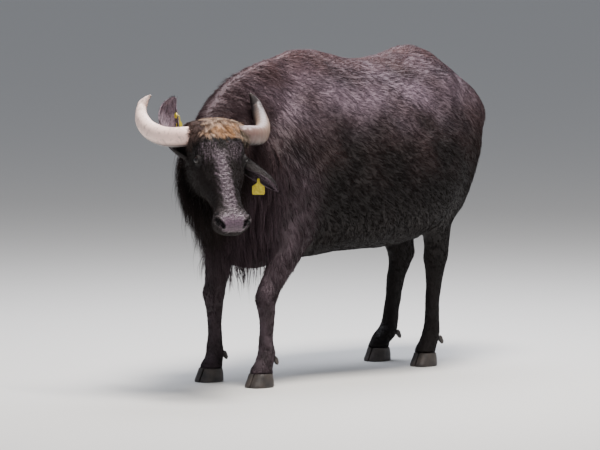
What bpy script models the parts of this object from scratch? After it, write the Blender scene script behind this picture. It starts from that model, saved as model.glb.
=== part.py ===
"""A water buffalo cow, life size, in a slow walking stance with the head lowered and turned to its left.

Units are metres, +Z is up and the animal faces -X, so that its left side is at -Y. The origin is on the
ground under the middle of the animal. The flesh is modelled whole from lofted masses, out to the tips of
its coat, and then parted into head, neck, trunk and legs by thin cuts.
"""

import math

import bmesh
import bpy
import numpy as np
from mathutils import Matrix, Vector

# Driving dimensions of the cow
WITHERS_HEIGHT = 1.39
TRUNK_LENGTH = 1.56
BELLY_HALF_WIDTH = 0.385
HEAD_LENGTH = 0.505
HEAD_TURN = math.radians(55)
HEAD_PITCH = math.radians(48)
POLL = Vector((-0.757, -0.242, 1.138))
EYE_RADIUS = 0.019

# How finely the flesh is made, and the clearance between pieces that touch
VOXEL = 0.008
GAP = 0.0003
RING_SIDES = 28
FLESH_TRIANGLES = 8800
SIDES = {"left": -1, "right": 1}

# Where the trunk begins, the shapes of its back and belly, and the levels of the joints
TRUNK_FRONT = -0.42
ROOF_BACK = 1.8
FULL_BELLY = 2.25
KNEE_HEIGHT = 0.375
HOCK_HEIGHT = 0.46
FETLOCK_HEIGHT = 0.13
CORONET_HEIGHT = 0.058
SOLE_END = 0.02

# The legs' places: out from the middle, and along the body for the left leg and then the right one
FORE_OUT = 0.155
HIND_OUT = 0.145
ELBOWS = (-0.13, -0.21)
FOREARM_CUTS = (-0.225, -0.245)
KNEES = (-0.335, -0.310)
FORE_SOLES = (-0.345, -0.305)
FORE_FEET = (-0.372, -0.332)
HOCKS = (0.79, 0.92)
HIND_SOLES = (0.75, 0.79)
HIND_FEET = (0.725, 0.766)
FULLER_GASKINS = (0, 0.085)

# The eyes' places in the head, and how finely the small parts are divided
EYE_ALONG = 0.165
EYE_OUT = 0.0955
EYE_LEVEL = -0.048
HEAD_SCALE = HEAD_LENGTH / 0.53
HORN_STEPS = 3
HORN_RIDGES = 5
EAR_SIDES = 7
LID_STEPS = 6
MOUTH_STEPS = 14
CLAW_SIDES = 11
CLEFT = 0.005
EAR_STEPS = 2

# The ear tags: the flag's size, and the ear's section and turn that carry the right one and then the left one
TAG_WIDTH = 0.052
TAG_HEIGHT = 0.066
TAG_STATION = (5, 4)
TAG_TURN = (0.8, 0.75)

# How far apart points are joined after a Boolean, in the order tried, and when two count as touching
JOIN_REACHES = (0.00005, 0.00002, 0.0001, 0.00001, 0.0002, 0.0004, 0)
TOUCHING = 0.000001


def head_frame():
    """The matrix from the head's axes to the world: poll to nose, to the left, and out of the brow."""
    heading = Vector((-math.cos(HEAD_TURN), -math.sin(HEAD_TURN), 0))
    nose = heading * math.cos(HEAD_PITCH) + Vector((0, 0, -math.sin(HEAD_PITCH)))
    left = Vector((0, 0, 1)).cross(heading)
    brow = nose.cross(left)
    return Matrix.Translation(POLL) @ Matrix((nose, left, brow)).transposed().to_4x4()


HEAD = head_frame()


def clear_scene():
    for obj in list(bpy.data.objects):
        bpy.data.objects.remove(obj)


def material(name, colour, roughness):
    made = bpy.data.materials.new(name)
    made.use_nodes = True
    shader = made.node_tree.nodes["Principled BSDF"]
    shader.inputs["Base Color"].default_value = (*colour, 1)
    shader.inputs["Roughness"].default_value = roughness
    shader.inputs["Metallic"].default_value = 0
    return made


def new_object(name, bm, look=None):
    """The bmesh as a named object in the scene, in triangles."""
    bmesh.ops.triangulate(bm, faces=bm.faces)
    bmesh.ops.recalc_face_normals(bm, faces=bm.faces)
    mesh = bpy.data.meshes.new(name)
    bm.to_mesh(mesh)
    bm.free()
    if look:
        mesh.materials.append(look)
    obj = bpy.data.objects.new(name, mesh)
    bpy.context.scene.collection.objects.link(obj)
    return obj


def eased(rows, per_span):
    """The rows of numbers with a smooth curve through them, per_span steps from each to the next."""
    rows = np.array(rows, float)
    padded = np.vstack([2 * rows[0] - rows[1], rows, 2 * rows[-1] - rows[-2]])
    found = []
    for i in range(1, len(padded) - 2):
        before, start, end, after = padded[i - 1 : i + 3]
        for t in np.arange(per_span) / per_span:
            bend = 2 * before - 5 * start + 4 * end - after
            turn = 3 * start - before - 3 * end + after
            found.append(0.5 * (2 * start + (end - before) * t + bend * t**2 + turn * t**3))
    found.append(rows[-1])
    return np.array(found)


def curved(value, power):
    return math.copysign(abs(value) ** power, value)


def ring(centre, side, up, half_width, above, below, boxy_above=2.0, boxy_below=2.0, sides=RING_SIDES):
    """Points round a section. boxy is the exponent of the superellipse: 2 is round, more is square."""
    points = []
    for k in range(sides):
        angle = 2 * math.pi * k / sides
        boxy = boxy_above if math.sin(angle) >= 0 else boxy_below
        reach = above if math.sin(angle) >= 0 else below
        across = curved(math.cos(angle), 2 / boxy) * half_width
        points.append(centre + side * across + up * (curved(math.sin(angle), 2 / boxy) * reach))
    return points


def skinned(rings):
    """A closed bmesh through rings of equal length, with a fan over each end."""
    bm = bmesh.new()
    rows = [[bm.verts.new(p) for p in points] for points in rings]
    for lower, upper in zip(rows, rows[1:]):
        for k in range(len(lower)):
            nxt = (k + 1) % len(lower)
            bm.faces.new((lower[k], lower[nxt], upper[nxt], upper[k]))
    for row in (rows[0], rows[-1]):
        middle = bm.verts.new(sum((v.co for v in row), Vector()) / len(row))
        for k in range(len(row)):
            bm.faces.new((row[k], row[(k + 1) % len(row)], middle))
    return bm


def limb(name, rows, side=Vector((0, 1, 0)), per_span=4, sides=RING_SIDES, look=None, frame=None, along=None):
    """A tube along the rows' x, y, z whose sections stand across it, or across along where that is given.

    Each row goes on with the half width across, and the reach in front of and behind its middle.
    """
    rows = eased(rows, per_span)
    centres = [Vector(r[:3]) for r in rows]
    rings = []
    fixed = along
    for i, row in enumerate(rows):
        along = fixed or (centres[min(i + 1, len(rows) - 1)] - centres[max(i - 1, 0)]).normalized()
        across = (side - along * side.dot(along)).normalized()
        front = across.cross(along)
        rings.append(ring(centres[i], across, front, *row[3:6], *row[6:8], sides=sides))
    if frame:
        rings = [[frame @ p for p in points] for points in rings]
    return new_object(name, skinned(rings), look)


def ball(name, centre, radii, look=None, segments=24, turn=None):
    """An ellipsoid, turned by a matrix where one is given."""
    bm = bmesh.new()
    bmesh.ops.create_uvsphere(bm, u_segments=segments, v_segments=segments // 2, radius=1)
    shape = Matrix.Translation(centre) @ (turn or Matrix()) @ Matrix.Diagonal((*radii, 1))
    bmesh.ops.transform(bm, matrix=shape, verts=bm.verts)
    return new_object(name, bm, look)


def trunk_mass():
    """Breast to pin bones. Rows: along the trunk, then top, widest level, bottom and half width.

    Along is a share of the trunk's length, levels are shares of the withers' height, and the half width is a
    share of the belly's.
    """
    shares = (
        (0.000, 0.700, 0.590, 0.475, 0.26),
        (0.051, 0.800, 0.612, 0.400, 0.46),
        (0.128, 0.900, 0.619, 0.362, 0.60),
        (0.218, 0.975, 0.619, 0.359, 0.69),
        (0.308, 1.000, 0.619, 0.364, 0.78),
        (0.397, 0.988, 0.619, 0.371, 0.87),
        (0.500, 0.962, 0.619, 0.371, 0.96),
        (0.615, 0.960, 0.619, 0.371, 1.00),
        (0.705, 0.972, 0.633, 0.392, 0.95),
        (0.782, 0.982, 0.669, 0.439, 0.83),
        (0.859, 0.945, 0.705, 0.496, 0.71),
        (0.923, 0.890, 0.719, 0.570, 0.55),
        (0.974, 0.830, 0.722, 0.630, 0.37),
        (0.996, 0.780, 0.722, 0.665, 0.20),
    )
    rows = [
        (
            TRUNK_FRONT + along * TRUNK_LENGTH,
            0,
            middle * WITHERS_HEIGHT,
            width * BELLY_HALF_WIDTH,
            (top - middle) * WITHERS_HEIGHT,
            (middle - bottom) * WITHERS_HEIGHT,
            ROOF_BACK,
            FULL_BELLY,
        )
        for along, top, middle, bottom, width in shares
    ]
    return limb("trunk_mass", rows, side=Vector((0, -1, 0)), sides=40, along=Vector((1, 0, 0)))


def neck_mass():
    """Withers to the back of the head, bending to the left. Rows as in limb."""
    rows = (
        (-0.02, 0.000, 0.980, 0.190, 0.385, 0.36, 1.8, 2),
        (-0.20, 0.000, 0.975, 0.185, 0.370, 0.35, 1.8, 2),
        (-0.37, -0.005, 0.965, 0.155, 0.320, 0.32, 1.8, 1.9),
        (-0.53, -0.050, 0.955, 0.132, 0.248, 0.28, 1.9, 1.8),
        (-0.67, -0.145, 0.960, 0.118, 0.184, 0.22, 2, 2),
        (-0.76, -0.265, 0.975, 0.100, 0.135, 0.14, 2, 2),
    )
    return limb("neck_mass", rows, side=Vector((0, 1, 0)))


def fore_leg_mass(name, out, elbow, knee, foot):
    """Shoulder to sole of the leg at y = out. elbow, knee and foot are the places of those along x."""
    lean = (foot - knee) / KNEE_HEIGHT
    rows = [
        (elbow + 0.17, out * 0.55, 1.27, 0.030, 0.050, 0.05),
        (elbow + 0.13, out * 0.80, 1.17, 0.075, 0.130, 0.13),
        (elbow + 0.05, out * 1.02, 1.02, 0.088, 0.170, 0.17),
        (elbow - 0.03, out * 1.12, 0.87, 0.094, 0.175, 0.18),
        (elbow + 0.00, out * 1.13, 0.74, 0.087, 0.130, 0.14),
        (elbow + (knee - elbow) * 0.30, out * 1.09, 0.61, 0.068, 0.082, 0.09),
        (elbow + (knee - elbow) * 0.67, out * 1.04, 0.49, 0.053, 0.056, 0.061),
        (elbow + (knee - elbow) * 0.90, out, 0.415, 0.046, 0.046, 0.048),
        (knee, out, KNEE_HEIGHT, 0.050, 0.053, 0.047),
        (knee + lean * 0.04, out, 0.335, 0.042, 0.043, 0.042),
        (knee + lean * 0.11, out, 0.265, 0.033, 0.032, 0.036),
        (knee + lean * 0.19, out, 0.185, 0.032, 0.031, 0.036),
        (knee + lean * 0.25, out, FETLOCK_HEIGHT, 0.041, 0.038, 0.043),
        (foot - 0.008, out, 0.095, 0.041, 0.038, 0.040),
        (foot - 0.024, out, CORONET_HEIGHT, 0.050, 0.050, 0.047),
        (foot - 0.032, out, SOLE_END, 0.050, 0.050, 0.047),
    ]
    return limb(name, rows, side=Vector((0, 1, 0)))


def hind_leg_mass(name, out, hock, foot, fuller):
    """Hip to sole of the leg at y = out.

    hock and foot are the places of those along x, and fuller is what the thigh gains in front above the hock.
    """
    lean = (foot - hock) / HOCK_HEIGHT
    rows = [
        (0.93, out * 0.45, 1.25, 0.040, 0.060, 0.06),
        (0.92, out * 0.95, 1.15, 0.090, 0.170, 0.13),
        (0.90, out * 1.20, 1.02, 0.112, 0.215, 0.130),
        (0.86, out * 1.28, 0.88, 0.120, 0.215, 0.110),
        (0.815, out * 1.27, 0.77, 0.110, 0.165 + fuller / 2, 0.110),
        (hock - 0.025, out * 1.20, 0.67, 0.088, 0.115 + fuller, 0.105),
        (hock - 0.010, out * 1.10, 0.58, 0.063, 0.073 + fuller, 0.075),
        (hock, out * 1.03, 0.51, 0.050, 0.055 + fuller * 0.6, 0.069),
        (hock, out, HOCK_HEIGHT, 0.048, 0.054 + fuller * 0.35, 0.064),
        (hock + lean * 0.06, out, 0.395, 0.039, 0.043 + fuller * 0.25, 0.048),
        (hock + lean * 0.13, out, 0.325, 0.033, 0.036 + fuller * 0.22, 0.038),
        (hock + lean * 0.24, out, 0.215, 0.032, 0.034 + fuller * 0.12, 0.037),
        (hock + lean * 0.32, out, FETLOCK_HEIGHT, 0.040, 0.039, 0.043),
        (foot - 0.008, out, 0.095, 0.040, 0.038, 0.040),
        (foot - 0.024, out, CORONET_HEIGHT, 0.048, 0.049, 0.046),
        (foot - 0.032, out, SOLE_END, 0.048, 0.049, 0.046),
    ]
    return limb(name, rows, side=Vector((0, 1, 0)))


def brisket_mass():
    """The breast between the fore legs, from the base of the throat back to the belly."""
    rows = (
        (-0.500, 0, 0.800, 0.060, 0.06, 0.06, 2, 2),
        (-0.440, 0, 0.720, 0.090, 0.10, 0.10, 2, 2),
        (-0.350, 0, 0.640, 0.108, 0.12, 0.13, 2, 2),
        (-0.250, 0, 0.615, 0.112, 0.12, 0.14, 2, 2),
        (-0.100, 0, 0.630, 0.110, 0.12, 0.13, 2, 2),
        (0.050, 0, 0.660, 0.080, 0.08, 0.08, 2, 2),
    )
    return limb("brisket_mass", rows, side=Vector((0, -1, 0)))


def head_mass():
    """Skull, jaw and muzzle in the head's own axes: poll to nose, to the left, out of the brow."""
    rows = (
        (-0.055, 0, -0.100, 0.085, 0.060, 0.07, 2.0, 2.0),
        (-0.020, 0, -0.095, 0.118, 0.090, 0.10, 2.2, 2.0),
        (0.040, 0, -0.090, 0.128, 0.103, 0.14, 2.4, 2.0),
        (0.100, 0, -0.090, 0.122, 0.104, 0.165, 2.4, 1.9),
        (0.160, 0, -0.090, 0.112, 0.098, 0.17, 2.3, 1.8),
        (0.220, 0, -0.090, 0.098, 0.084, 0.165, 2.2, 1.8),
        (0.280, 0, -0.090, 0.082, 0.070, 0.145, 2.1, 1.8),
        (0.340, 0, -0.090, 0.069, 0.060, 0.112, 2.1, 1.9),
        (0.400, 0, -0.090, 0.064, 0.055, 0.088, 2.2, 2.0),
        (0.450, 0, -0.090, 0.070, 0.054, 0.078, 2.4, 2.2),
        (0.490, 0, -0.095, 0.073, 0.050, 0.070, 2.6, 2.3),
        (0.515, 0, -0.100, 0.062, 0.040, 0.054, 2.4, 2.2),
        (0.530, 0, -0.105, 0.040, 0.024, 0.032, 2.0, 2.0),
    )
    scale = HEAD_LENGTH / rows[-1][0]
    rows = [[value * scale for value in row[:6]] + list(row[6:]) for row in rows]
    return limb("head_mass", rows, side=Vector((0, -1, 0)), frame=HEAD)


def joined(name, objects):
    """One object holding the meshes of the others, which are removed."""
    bm = bmesh.new()
    for obj in objects:
        bm.from_mesh(obj.data)
        bpy.data.objects.remove(obj)
    mesh = bpy.data.meshes.new(name)
    bm.to_mesh(mesh)
    bm.free()
    obj = bpy.data.objects.new(name, mesh)
    bpy.context.scene.collection.objects.link(obj)
    return obj


def settled(obj):
    """The object with its modifiers applied."""
    bpy.context.view_layer.update()
    graph = bpy.context.evaluated_depsgraph_get()
    mesh = bpy.data.meshes.new_from_object(obj.evaluated_get(graph), depsgraph=graph)
    obj.modifiers.clear()
    obj.data = mesh
    return obj


def places(obj):
    """The vertices' places as rows of an array."""
    found = np.empty(len(obj.data.vertices) * 3, np.float32)
    obj.data.vertices.foreach_get("co", found)
    return found.reshape(-1, 3).astype(float)


def in_head(points):
    """The same points in the head's own axes."""
    inverse = np.array(HEAD.inverted())
    return points @ inverse[:3, :3].T + inverse[:3, 3]


def grade(values, low, high):
    """0 at low and below, 1 at high and above, and an easy slope between."""
    t = np.clip((values - low) / (high - low), 0, 1)
    return t * t * (3 - 2 * t)


def group(obj, name, weights):
    """A vertex group with these weights, in sixteen steps."""
    made = obj.vertex_groups.new(name=name)
    steps = np.round(weights * 16).astype(int)
    for step in range(1, 17):
        made.add(np.nonzero(steps == step)[0].tolist(), step / 16, "REPLACE")
    return made


def pushed(obj, strokes):
    """The surface moved along its own normals in soft mounds and hollows: place, reach and height of each."""
    points = places(obj)
    normals = np.empty(points.size, np.float32)
    obj.data.vertices.foreach_get("normal", normals)
    normals = normals.reshape(-1, 3)
    rise = np.zeros(len(points))
    for place, reach, height in strokes:
        away = np.linalg.norm((points - np.array(place)) / np.array(reach), axis=1)
        rise += height * np.exp(-0.5 * (away * 2) ** 2)
    obj.data.vertices.foreach_set("co", (points + normals * rise[:, None]).astype(np.float32).ravel())
    obj.data.update()


def body_strokes():
    """Hip bones, loin, flank hollow, ribs' edge, shoulder blade, points of shoulder and rump, on both sides.

    The last four are the hanging hair of throat, dewlap and brisket, as one smooth form out to its tips.
    """
    strokes = []
    for side in SIDES.values():
        strokes += [
            ((0.79, 0.235 * side, 1.24), (0.12, 0.10, 0.10), 0.030),
            ((0.66, 0.33 * side, 1.12), (0.20, 0.16, 0.17), -0.028),
            ((0.60, 0.36 * side, 0.95), (0.12, 0.12, 0.30), -0.008),
            ((0.35, 0.36 * side, 0.72), (0.55, 0.20, 0.28), 0.012),
            ((0.02, 0.20 * side, 1.20), (0.16, 0.14, 0.24), 0.012),
            ((0.10, 0.31 * side, 0.98), (0.12, 0.16, 0.40), -0.012),
            ((-0.30, 0.20 * side, 0.86), (0.16, 0.14, 0.16), 0.014),
            ((1.09, 0.12 * side, 1.09), (0.13, 0.13, 0.16), 0.046),
            ((0.98, 0.16 * side, 1.20), (0.16, 0.10, 0.12), -0.012),
            ((0.62, 0.27 * side, 0.72), (0.14, 0.14, 0.18), 0.010),
        ]
    strokes += [
        ((0.80, 0, 1.38), (0.20, 0.16, 0.12), 0.012),
        ((-0.05, 0, 1.40), (0.20, 0.10, 0.12), 0.008),
        ((-0.42, 0, 0.70), (0.12, 0.10, 0.16), 0.012),
        ((-0.70, 0.00, 0.94), (0.14, 0.14, 0.20), 0.022),
        ((-0.68, -0.07, 0.76), (0.16, 0.14, 0.15), 0.018),
        ((-0.48, 0.07, 0.65), (0.20, 0.16, 0.20), 0.020),
        ((-0.32, 0.20, 0.58), (0.14, 0.12, 0.18), 0.014),
    ]
    return strokes


def head_strokes():
    """Brow, eye mounds, cheek, bridge of the nose, nostril wings, lips and chin, in the head's own axes.

    The first of the middle ones is the poll with its mat of hair, as one smooth form out to its tips.
    """
    both = (
        ((0.115, 0.075, 0.000), (0.060, 0.050, 0.06), 0.010),
        ((0.165, 0.104, -0.045), (0.055, 0.035, 0.05), 0.012),
        ((0.235, 0.070, -0.035), (0.060, 0.040, 0.05), -0.010),
        ((0.250, 0.088, -0.110), (0.120, 0.050, 0.05), 0.008),
        ((0.300, 0.075, -0.070), (0.100, 0.040, 0.04), -0.010),
        ((0.190, 0.100, -0.160), (0.110, 0.060, 0.10), 0.010),
        ((0.120, 0.115, -0.070), (0.050, 0.040, 0.05), -0.012),
        ((0.462, 0.052, -0.064), (0.042, 0.032, 0.04), 0.010),
        ((0.440, 0.060, -0.110), (0.060, 0.030, 0.04), 0.006),
        ((0.030, 0.125, -0.040), (0.100, 0.080, 0.10), 0.020),
        ((0.445, 0.072, -0.085), (0.070, 0.040, 0.06), 0.006),
    )
    middle = (
        ((0.030, 0.0, 0.010), (0.080, 0.090, 0.05), 0.010),
        ((0.300, 0.0, -0.025), (0.180, 0.035, 0.05), 0.008),
        ((0.500, 0.0, -0.080), (0.030, 0.020, 0.05), -0.005),
        ((0.455, 0.0, -0.165), (0.050, 0.050, 0.04), 0.010),
    )
    strokes = []
    for (a, b, c), reach, height in both:
        strokes += [((a, b, c), reach, height), ((a, -b, c), reach, height)]
    strokes += middle
    turned = []
    for place, reach, height in strokes:
        turned.append((HEAD @ Vector(place), sum(reach) / 3, height))
    return turned


def whole_flesh():
    """Trunk, neck, head and legs as one closed skin with soft joins."""
    masses = [trunk_mass(), neck_mass(), head_mass()]
    masses.append(brisket_mass())
    for k, (name, side) in enumerate(SIDES.items()):
        gaskin = FULLER_GASKINS[k]
        masses.append(hind_leg_mass(f"hind_{name}_mass", HIND_OUT * side, HOCKS[k], HIND_SOLES[k], gaskin))
        masses.append(fore_leg_mass(f"fore_{name}_mass", FORE_OUT * side, ELBOWS[k], KNEES[k], FORE_SOLES[k]))
    flesh = joined("flesh", masses)
    remesh = flesh.modifiers.new("one_skin", "REMESH")
    remesh.mode = "VOXEL"
    remesh.voxel_size = VOXEL
    settled(flesh)
    points = places(flesh)
    head = in_head(points)
    back_of_face = 1 - grade(head[:, 0] * 0.75 + head[:, 2] * 0.67, -0.10, -0.02)
    above_legs = grade(points[:, 2], 0.50, 0.66)
    between_legs = (1 - grade(np.abs(points[:, 1]), 0.06, 0.10)) * (1 - grade(points[:, 0], 0.55, 0.65))
    broad = back_of_face * np.maximum(above_legs, between_legs)
    group(flesh, "broad", broad)
    fine = flesh.modifiers.new("soft_skin", "SMOOTH")
    fine.factor = 0.5
    fine.iterations = 8
    wide = flesh.modifiers.new("soft_joins", "SMOOTH")
    wide.factor = 0.5
    wide.iterations = 110
    wide.vertex_group = "broad"
    settled(flesh)
    pushed(flesh, body_strokes())
    pushed(flesh, head_strokes())
    return flesh


def disc(name, centre, facing, radius):
    """A thin round cutter, as thick as the clearance between pieces."""
    bm = bmesh.new()
    bmesh.ops.create_cone(bm, cap_ends=True, segments=24, radius1=radius, radius2=radius, depth=GAP)
    turn = Vector(facing).normalized().to_track_quat("Z", "Y").to_matrix().to_4x4()
    bmesh.ops.transform(bm, matrix=Matrix.Translation(centre) @ turn, verts=bm.verts)
    return new_object(name, bm)


def is_closed(bm):
    return all(len(edge.link_faces) == 2 for edge in bm.edges)


def joined_up(mesh):
    """The mesh in triangles with its closest points joined, or None where it stays open or touches itself."""
    for reach in JOIN_REACHES:
        bm = bmesh.new()
        bm.from_mesh(mesh)
        if reach:
            bmesh.ops.remove_doubles(bm, verts=bm.verts, dist=reach)
            bmesh.ops.dissolve_degenerate(bm, edges=bm.edges, dist=reach)
        bmesh.ops.triangulate(bm, faces=bm.faces)
        touching = bmesh.ops.find_doubles(bm, verts=bm.verts, dist=TOUCHING)["targetmap"]
        if len(bm.faces) > 3 and is_closed(bm) and not touching:
            return bm
        bm.free()
    return None


def combined(obj, others, operation="DIFFERENCE"):
    """One Boolean of the object with a collection of the others, which are removed afterwards."""
    bag = bpy.data.collections.new("cutters")
    for other in others:
        bag.objects.link(other)
        other.display_type = "WIRE"
        other.hide_render = True
    before = obj.data.copy()
    for solver in ("EXACT", "MANIFOLD"):
        cut = obj.modifiers.new("combined", "BOOLEAN")
        cut.operation = operation
        cut.operand_type = "COLLECTION"
        cut.collection = bag
        cut.solver = solver
        settled(obj)
        bm = joined_up(obj.data)
        if bm:
            bm.to_mesh(obj.data)
            bm.free()
            break
        obj.data = before.copy()
    else:
        raise ValueError(f"{obj.name} did not come out closed")
    for other in others:
        bpy.data.objects.remove(other)
    bpy.data.collections.remove(bag)
    return obj


def shells(obj):
    """The volume, middle and face numbers of each loose part of a mesh in triangles, largest first."""
    bm = bmesh.new()
    bm.from_mesh(obj.data)
    bm.faces.ensure_lookup_table()
    seen = set()
    found = []
    for first in bm.faces:
        if first in seen:
            continue
        part = [first]
        seen.add(first)
        for face in part:
            for edge in face.edges:
                for other in edge.link_faces:
                    if other not in seen:
                        seen.add(other)
                        part.append(other)
        volume = sum(f.verts[0].co.dot(f.verts[1].co.cross(f.verts[2].co)) / 6 for f in part)
        verts = {v for f in part for v in f.verts}
        middle = sum((v.co for v in verts), Vector()) / len(verts)
        found.append((abs(volume), middle, [f.index for f in part]))
    bm.free()
    return sorted(found, key=lambda item: -item[0])


def only_faces(obj, faces):
    """The mesh with just these faces."""
    bm = bmesh.new()
    bm.from_mesh(obj.data)
    keep = set(faces)
    bmesh.ops.delete(bm, geom=[f for f in bm.faces if f.index not in keep], context="FACES")
    bm.to_mesh(obj.data)
    bm.free()


def cleaned(obj, look=None):
    """The object as its largest closed surface."""
    only_faces(obj, shells(obj)[0][2])
    bm = joined_up(obj.data)
    if not bm:
        raise ValueError(f"{obj.name} touches itself")
    bm.to_mesh(obj.data)
    bm.free()
    if look:
        obj.data.materials.clear()
        obj.data.materials.append(look)
        obj.data.polygons.foreach_set("material_index", [0] * len(obj.data.polygons))
    return obj


def clear_of(obj, others):
    """The object cut back to stand clear of the others."""
    cutters = []
    for other in others:
        cutter = other.copy()
        cutter.data = other.data.copy()
        bpy.context.scene.collection.objects.link(cutter)
        grow = cutter.modifiers.new("clearance", "DISPLACE")
        grow.strength = GAP * 1.15
        grow.mid_level = 0
        cutters.append(settled(cutter))
    combined(obj, cutters)
    return cleaned(obj)


def parted(flesh):
    """The flesh cut into its named parts, each an object."""
    cuts = []
    cuts.append(disc("head_cut", (-0.655, -0.130, 0.94), (-0.72, -0.69, 0), 0.262))
    cuts.append(disc("neck_cut", (-0.30, 0, 1.01), (-0.933, 0, 0.36), 0.60))
    for k, side in enumerate(SIDES.values()):
        elbow_tilt = (0, -0.60 * side, 0.80)
        cuts.append(disc("forearm_cut", (FOREARM_CUTS[k], 0.175 * side, 0.543), elbow_tilt, 0.125))
        cuts.append(disc("knee_cut", (KNEES[k], FORE_OUT * side, KNEE_HEIGHT), (0, 0, 1), 0.10))
        thigh_tilt = (-0.42, -0.40 * side, 1)
        cuts.append(disc("thigh_cut", (HOCKS[k] - 0.01, 0.16 * side, 0.59), thigh_tilt, 0.15))
        cuts.append(disc("hock_cut", (HOCKS[k], 0.147 * side, HOCK_HEIGHT), (0, 0, 1), 0.11))
        for x in (FORE_FEET[k], HIND_FEET[k]):
            cuts.append(disc("coronet_cut", (x, 0.15 * side, CORONET_HEIGHT), (0, 0, 1), 0.10))
    combined(flesh, cuts)
    spots = {
        "trunk": (0.4, 0, 0.9),
        "neck": (-0.5, 0, 0.95),
        "head": (-0.84, -0.37, 0.9),
        "fore_leg_left_upper": (-0.26, -0.17, 0.48),
        "fore_leg_right_upper": (-0.27, 0.17, 0.48),
        "fore_leg_left_lower": (-0.34, -0.155, 0.21),
        "fore_leg_right_lower": (-0.31, 0.155, 0.21),
        "hind_leg_left_upper": (0.79, -0.16, 0.55),
        "hind_leg_right_upper": (0.85, 0.16, 0.55),
        "hind_leg_left_lower": (0.77, -0.145, 0.25),
        "hind_leg_right_lower": (0.86, 0.145, 0.25),
    }
    parts = {}
    for volume, middle, faces in shells(flesh):
        if middle.z < CORONET_HEIGHT or volume < 0.0002:
            continue
        name = min(spots, key=lambda spot: (Vector(spots[spot]) - middle).length)
        if name in parts:
            continue
        part = bpy.data.objects.new(name, flesh.data.copy())
        bpy.context.scene.collection.objects.link(part)
        only_faces(part, faces)
        part.data.name = name
        parts[name] = cleaned(part, HIDE)
    bpy.data.objects.remove(flesh)
    return parts


def thinned(flesh):
    """Fewer, larger triangles: the trunk gives up most, the face least."""
    points = places(flesh)
    head = in_head(points)
    face = grade(head[:, 0] * 0.745 + head[:, 2] * 0.667, -0.10, -0.04) * grade(points[:, 2], 0.54, 0.62)
    legs = 1 - grade(points[:, 2], 0.50, 0.62)
    group(flesh, "give_up", 1 - 0.19 * face - 0.12 * legs)
    fewer = flesh.modifiers.new("fewer", "DECIMATE")
    fewer.ratio = FLESH_TRIANGLES / (2 * len(flesh.data.polygons))
    fewer.vertex_group = "give_up"
    fewer.vertex_group_factor = 0.3
    settled(flesh)
    flesh.vertex_groups.clear()
    return flesh


HIDE = material("dark_brown_hide", (0.045, 0.033, 0.028), 0.65)
HORN = material("horn", (0.45, 0.36, 0.29), 0.45)
HOOF = material("dark_hoof", (0.06, 0.05, 0.045), 0.5)
EYE = material("wet_eye", (0.02, 0.013, 0.01), 0.12)
TAG = material("yellow_ear_tag", (0.75, 0.62, 0.06), 0.4)


def horn(side, head):
    """A curved horn, ridged near its base and drawn to a blunt point, on one side of the head."""
    path = (
        (0.030, 0.070, -0.050, 0.039, 0.032),
        (0.038, 0.140, -0.054, 0.041, 0.033),
        (0.005, 0.200, -0.094, 0.041, 0.033),
        (-0.078, 0.240, -0.156, 0.039, 0.031),
        (-0.166, 0.252, -0.195, 0.034, 0.027),
        (-0.222, 0.245, -0.191, 0.026, 0.020),
        (-0.242, 0.230, -0.168, 0.015, 0.012),
        (-0.246, 0.212, -0.138, 0.004, 0.003),
    )
    rows = [(a, -b * side, c, wide, deep, deep, 2.0, 2.4) for a, b, c, wide, deep in path]
    rows = eased(rows, HORN_STEPS)
    for i in range(3, HORN_RIDGES * 2 + 3):
        swell = 1.05 if i % 2 else 0.97
        rows[i, 3:6] *= swell
    name = f"horn_{'left' if side < 0 else 'right'}"
    made = limb(name, rows, side=Vector((0.5, 0, -0.87)), per_span=1, sides=10, look=HORN, frame=HEAD)
    return clear_of(made, [head])


def ear_stations(side):
    """The ear's sections, root to tip: middle, across, way it opens, radius, half spread and thickness."""
    steps = (
        (0, 0, 0),
        (0.010, -0.040, -0.040),
        (0.026, -0.090, -0.088),
        (0.046, -0.131, -0.125),
        (0.071, -0.162, -0.153),
    )
    hollow = Vector((-0.42, -0.22, -0.88))
    if side > 0:
        steps = (
            (0, 0, 0),
            (-0.032, 0.056, 0.060),
            (-0.026, 0.090, 0.140),
            (-0.012, 0.101, 0.194),
            (0.005, 0.084, 0.240),
        )
        hollow = Vector((-0.74, -0.66, 0.05))
    middle = eased(steps, EAR_STEPS)
    sections = (
        (0.026, 2.9, 0.006),
        (0.033, 2.4, 0.006),
        (0.042, 1.65, 0.005),
        (0.038, 1.3, 0.0045),
        (0.012, 0.9, 0.003),
    )
    sizes = eased(sections, EAR_STEPS)
    base = HEAD @ Vector((0.075, -0.10 * side, -0.140))
    stations = []
    for i, (radius, spread, thick) in enumerate(sizes):
        along = Vector(middle[min(i + 1, len(middle) - 1)] - middle[max(i - 1, 0)]).normalized()
        open_to = (hollow - along * hollow.dot(along)).normalized()
        stations.append((base + Vector(middle[i]), along.cross(open_to), open_to, radius, spread, thick))
    return stations


def ear(side, others):
    """A long cupped ear, growing from behind the horn. The right one stands and the left one droops."""
    rings = []
    for centre, across, open_to, radius, spread, thick in ear_stations(side):
        points = []
        turns = [spread * (2 * k / (EAR_SIDES - 1) - 1) for k in range(EAR_SIDES)]
        for turn in turns:
            points.append(centre + (across * math.sin(turn) - open_to * math.cos(turn)) * radius)
        for turn in reversed(turns):
            inner = turn * 0.97
            points.append(centre + (across * math.sin(inner) - open_to * math.cos(inner)) * (radius - thick))
        rings.append(points)
    made = new_object(f"ear_{'left' if side < 0 else 'right'}", skinned(rings), HIDE)
    return clear_of(made, others)


def eye_place(side):
    return HEAD @ Vector((EYE_ALONG, -EYE_OUT * side, EYE_LEVEL))


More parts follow.
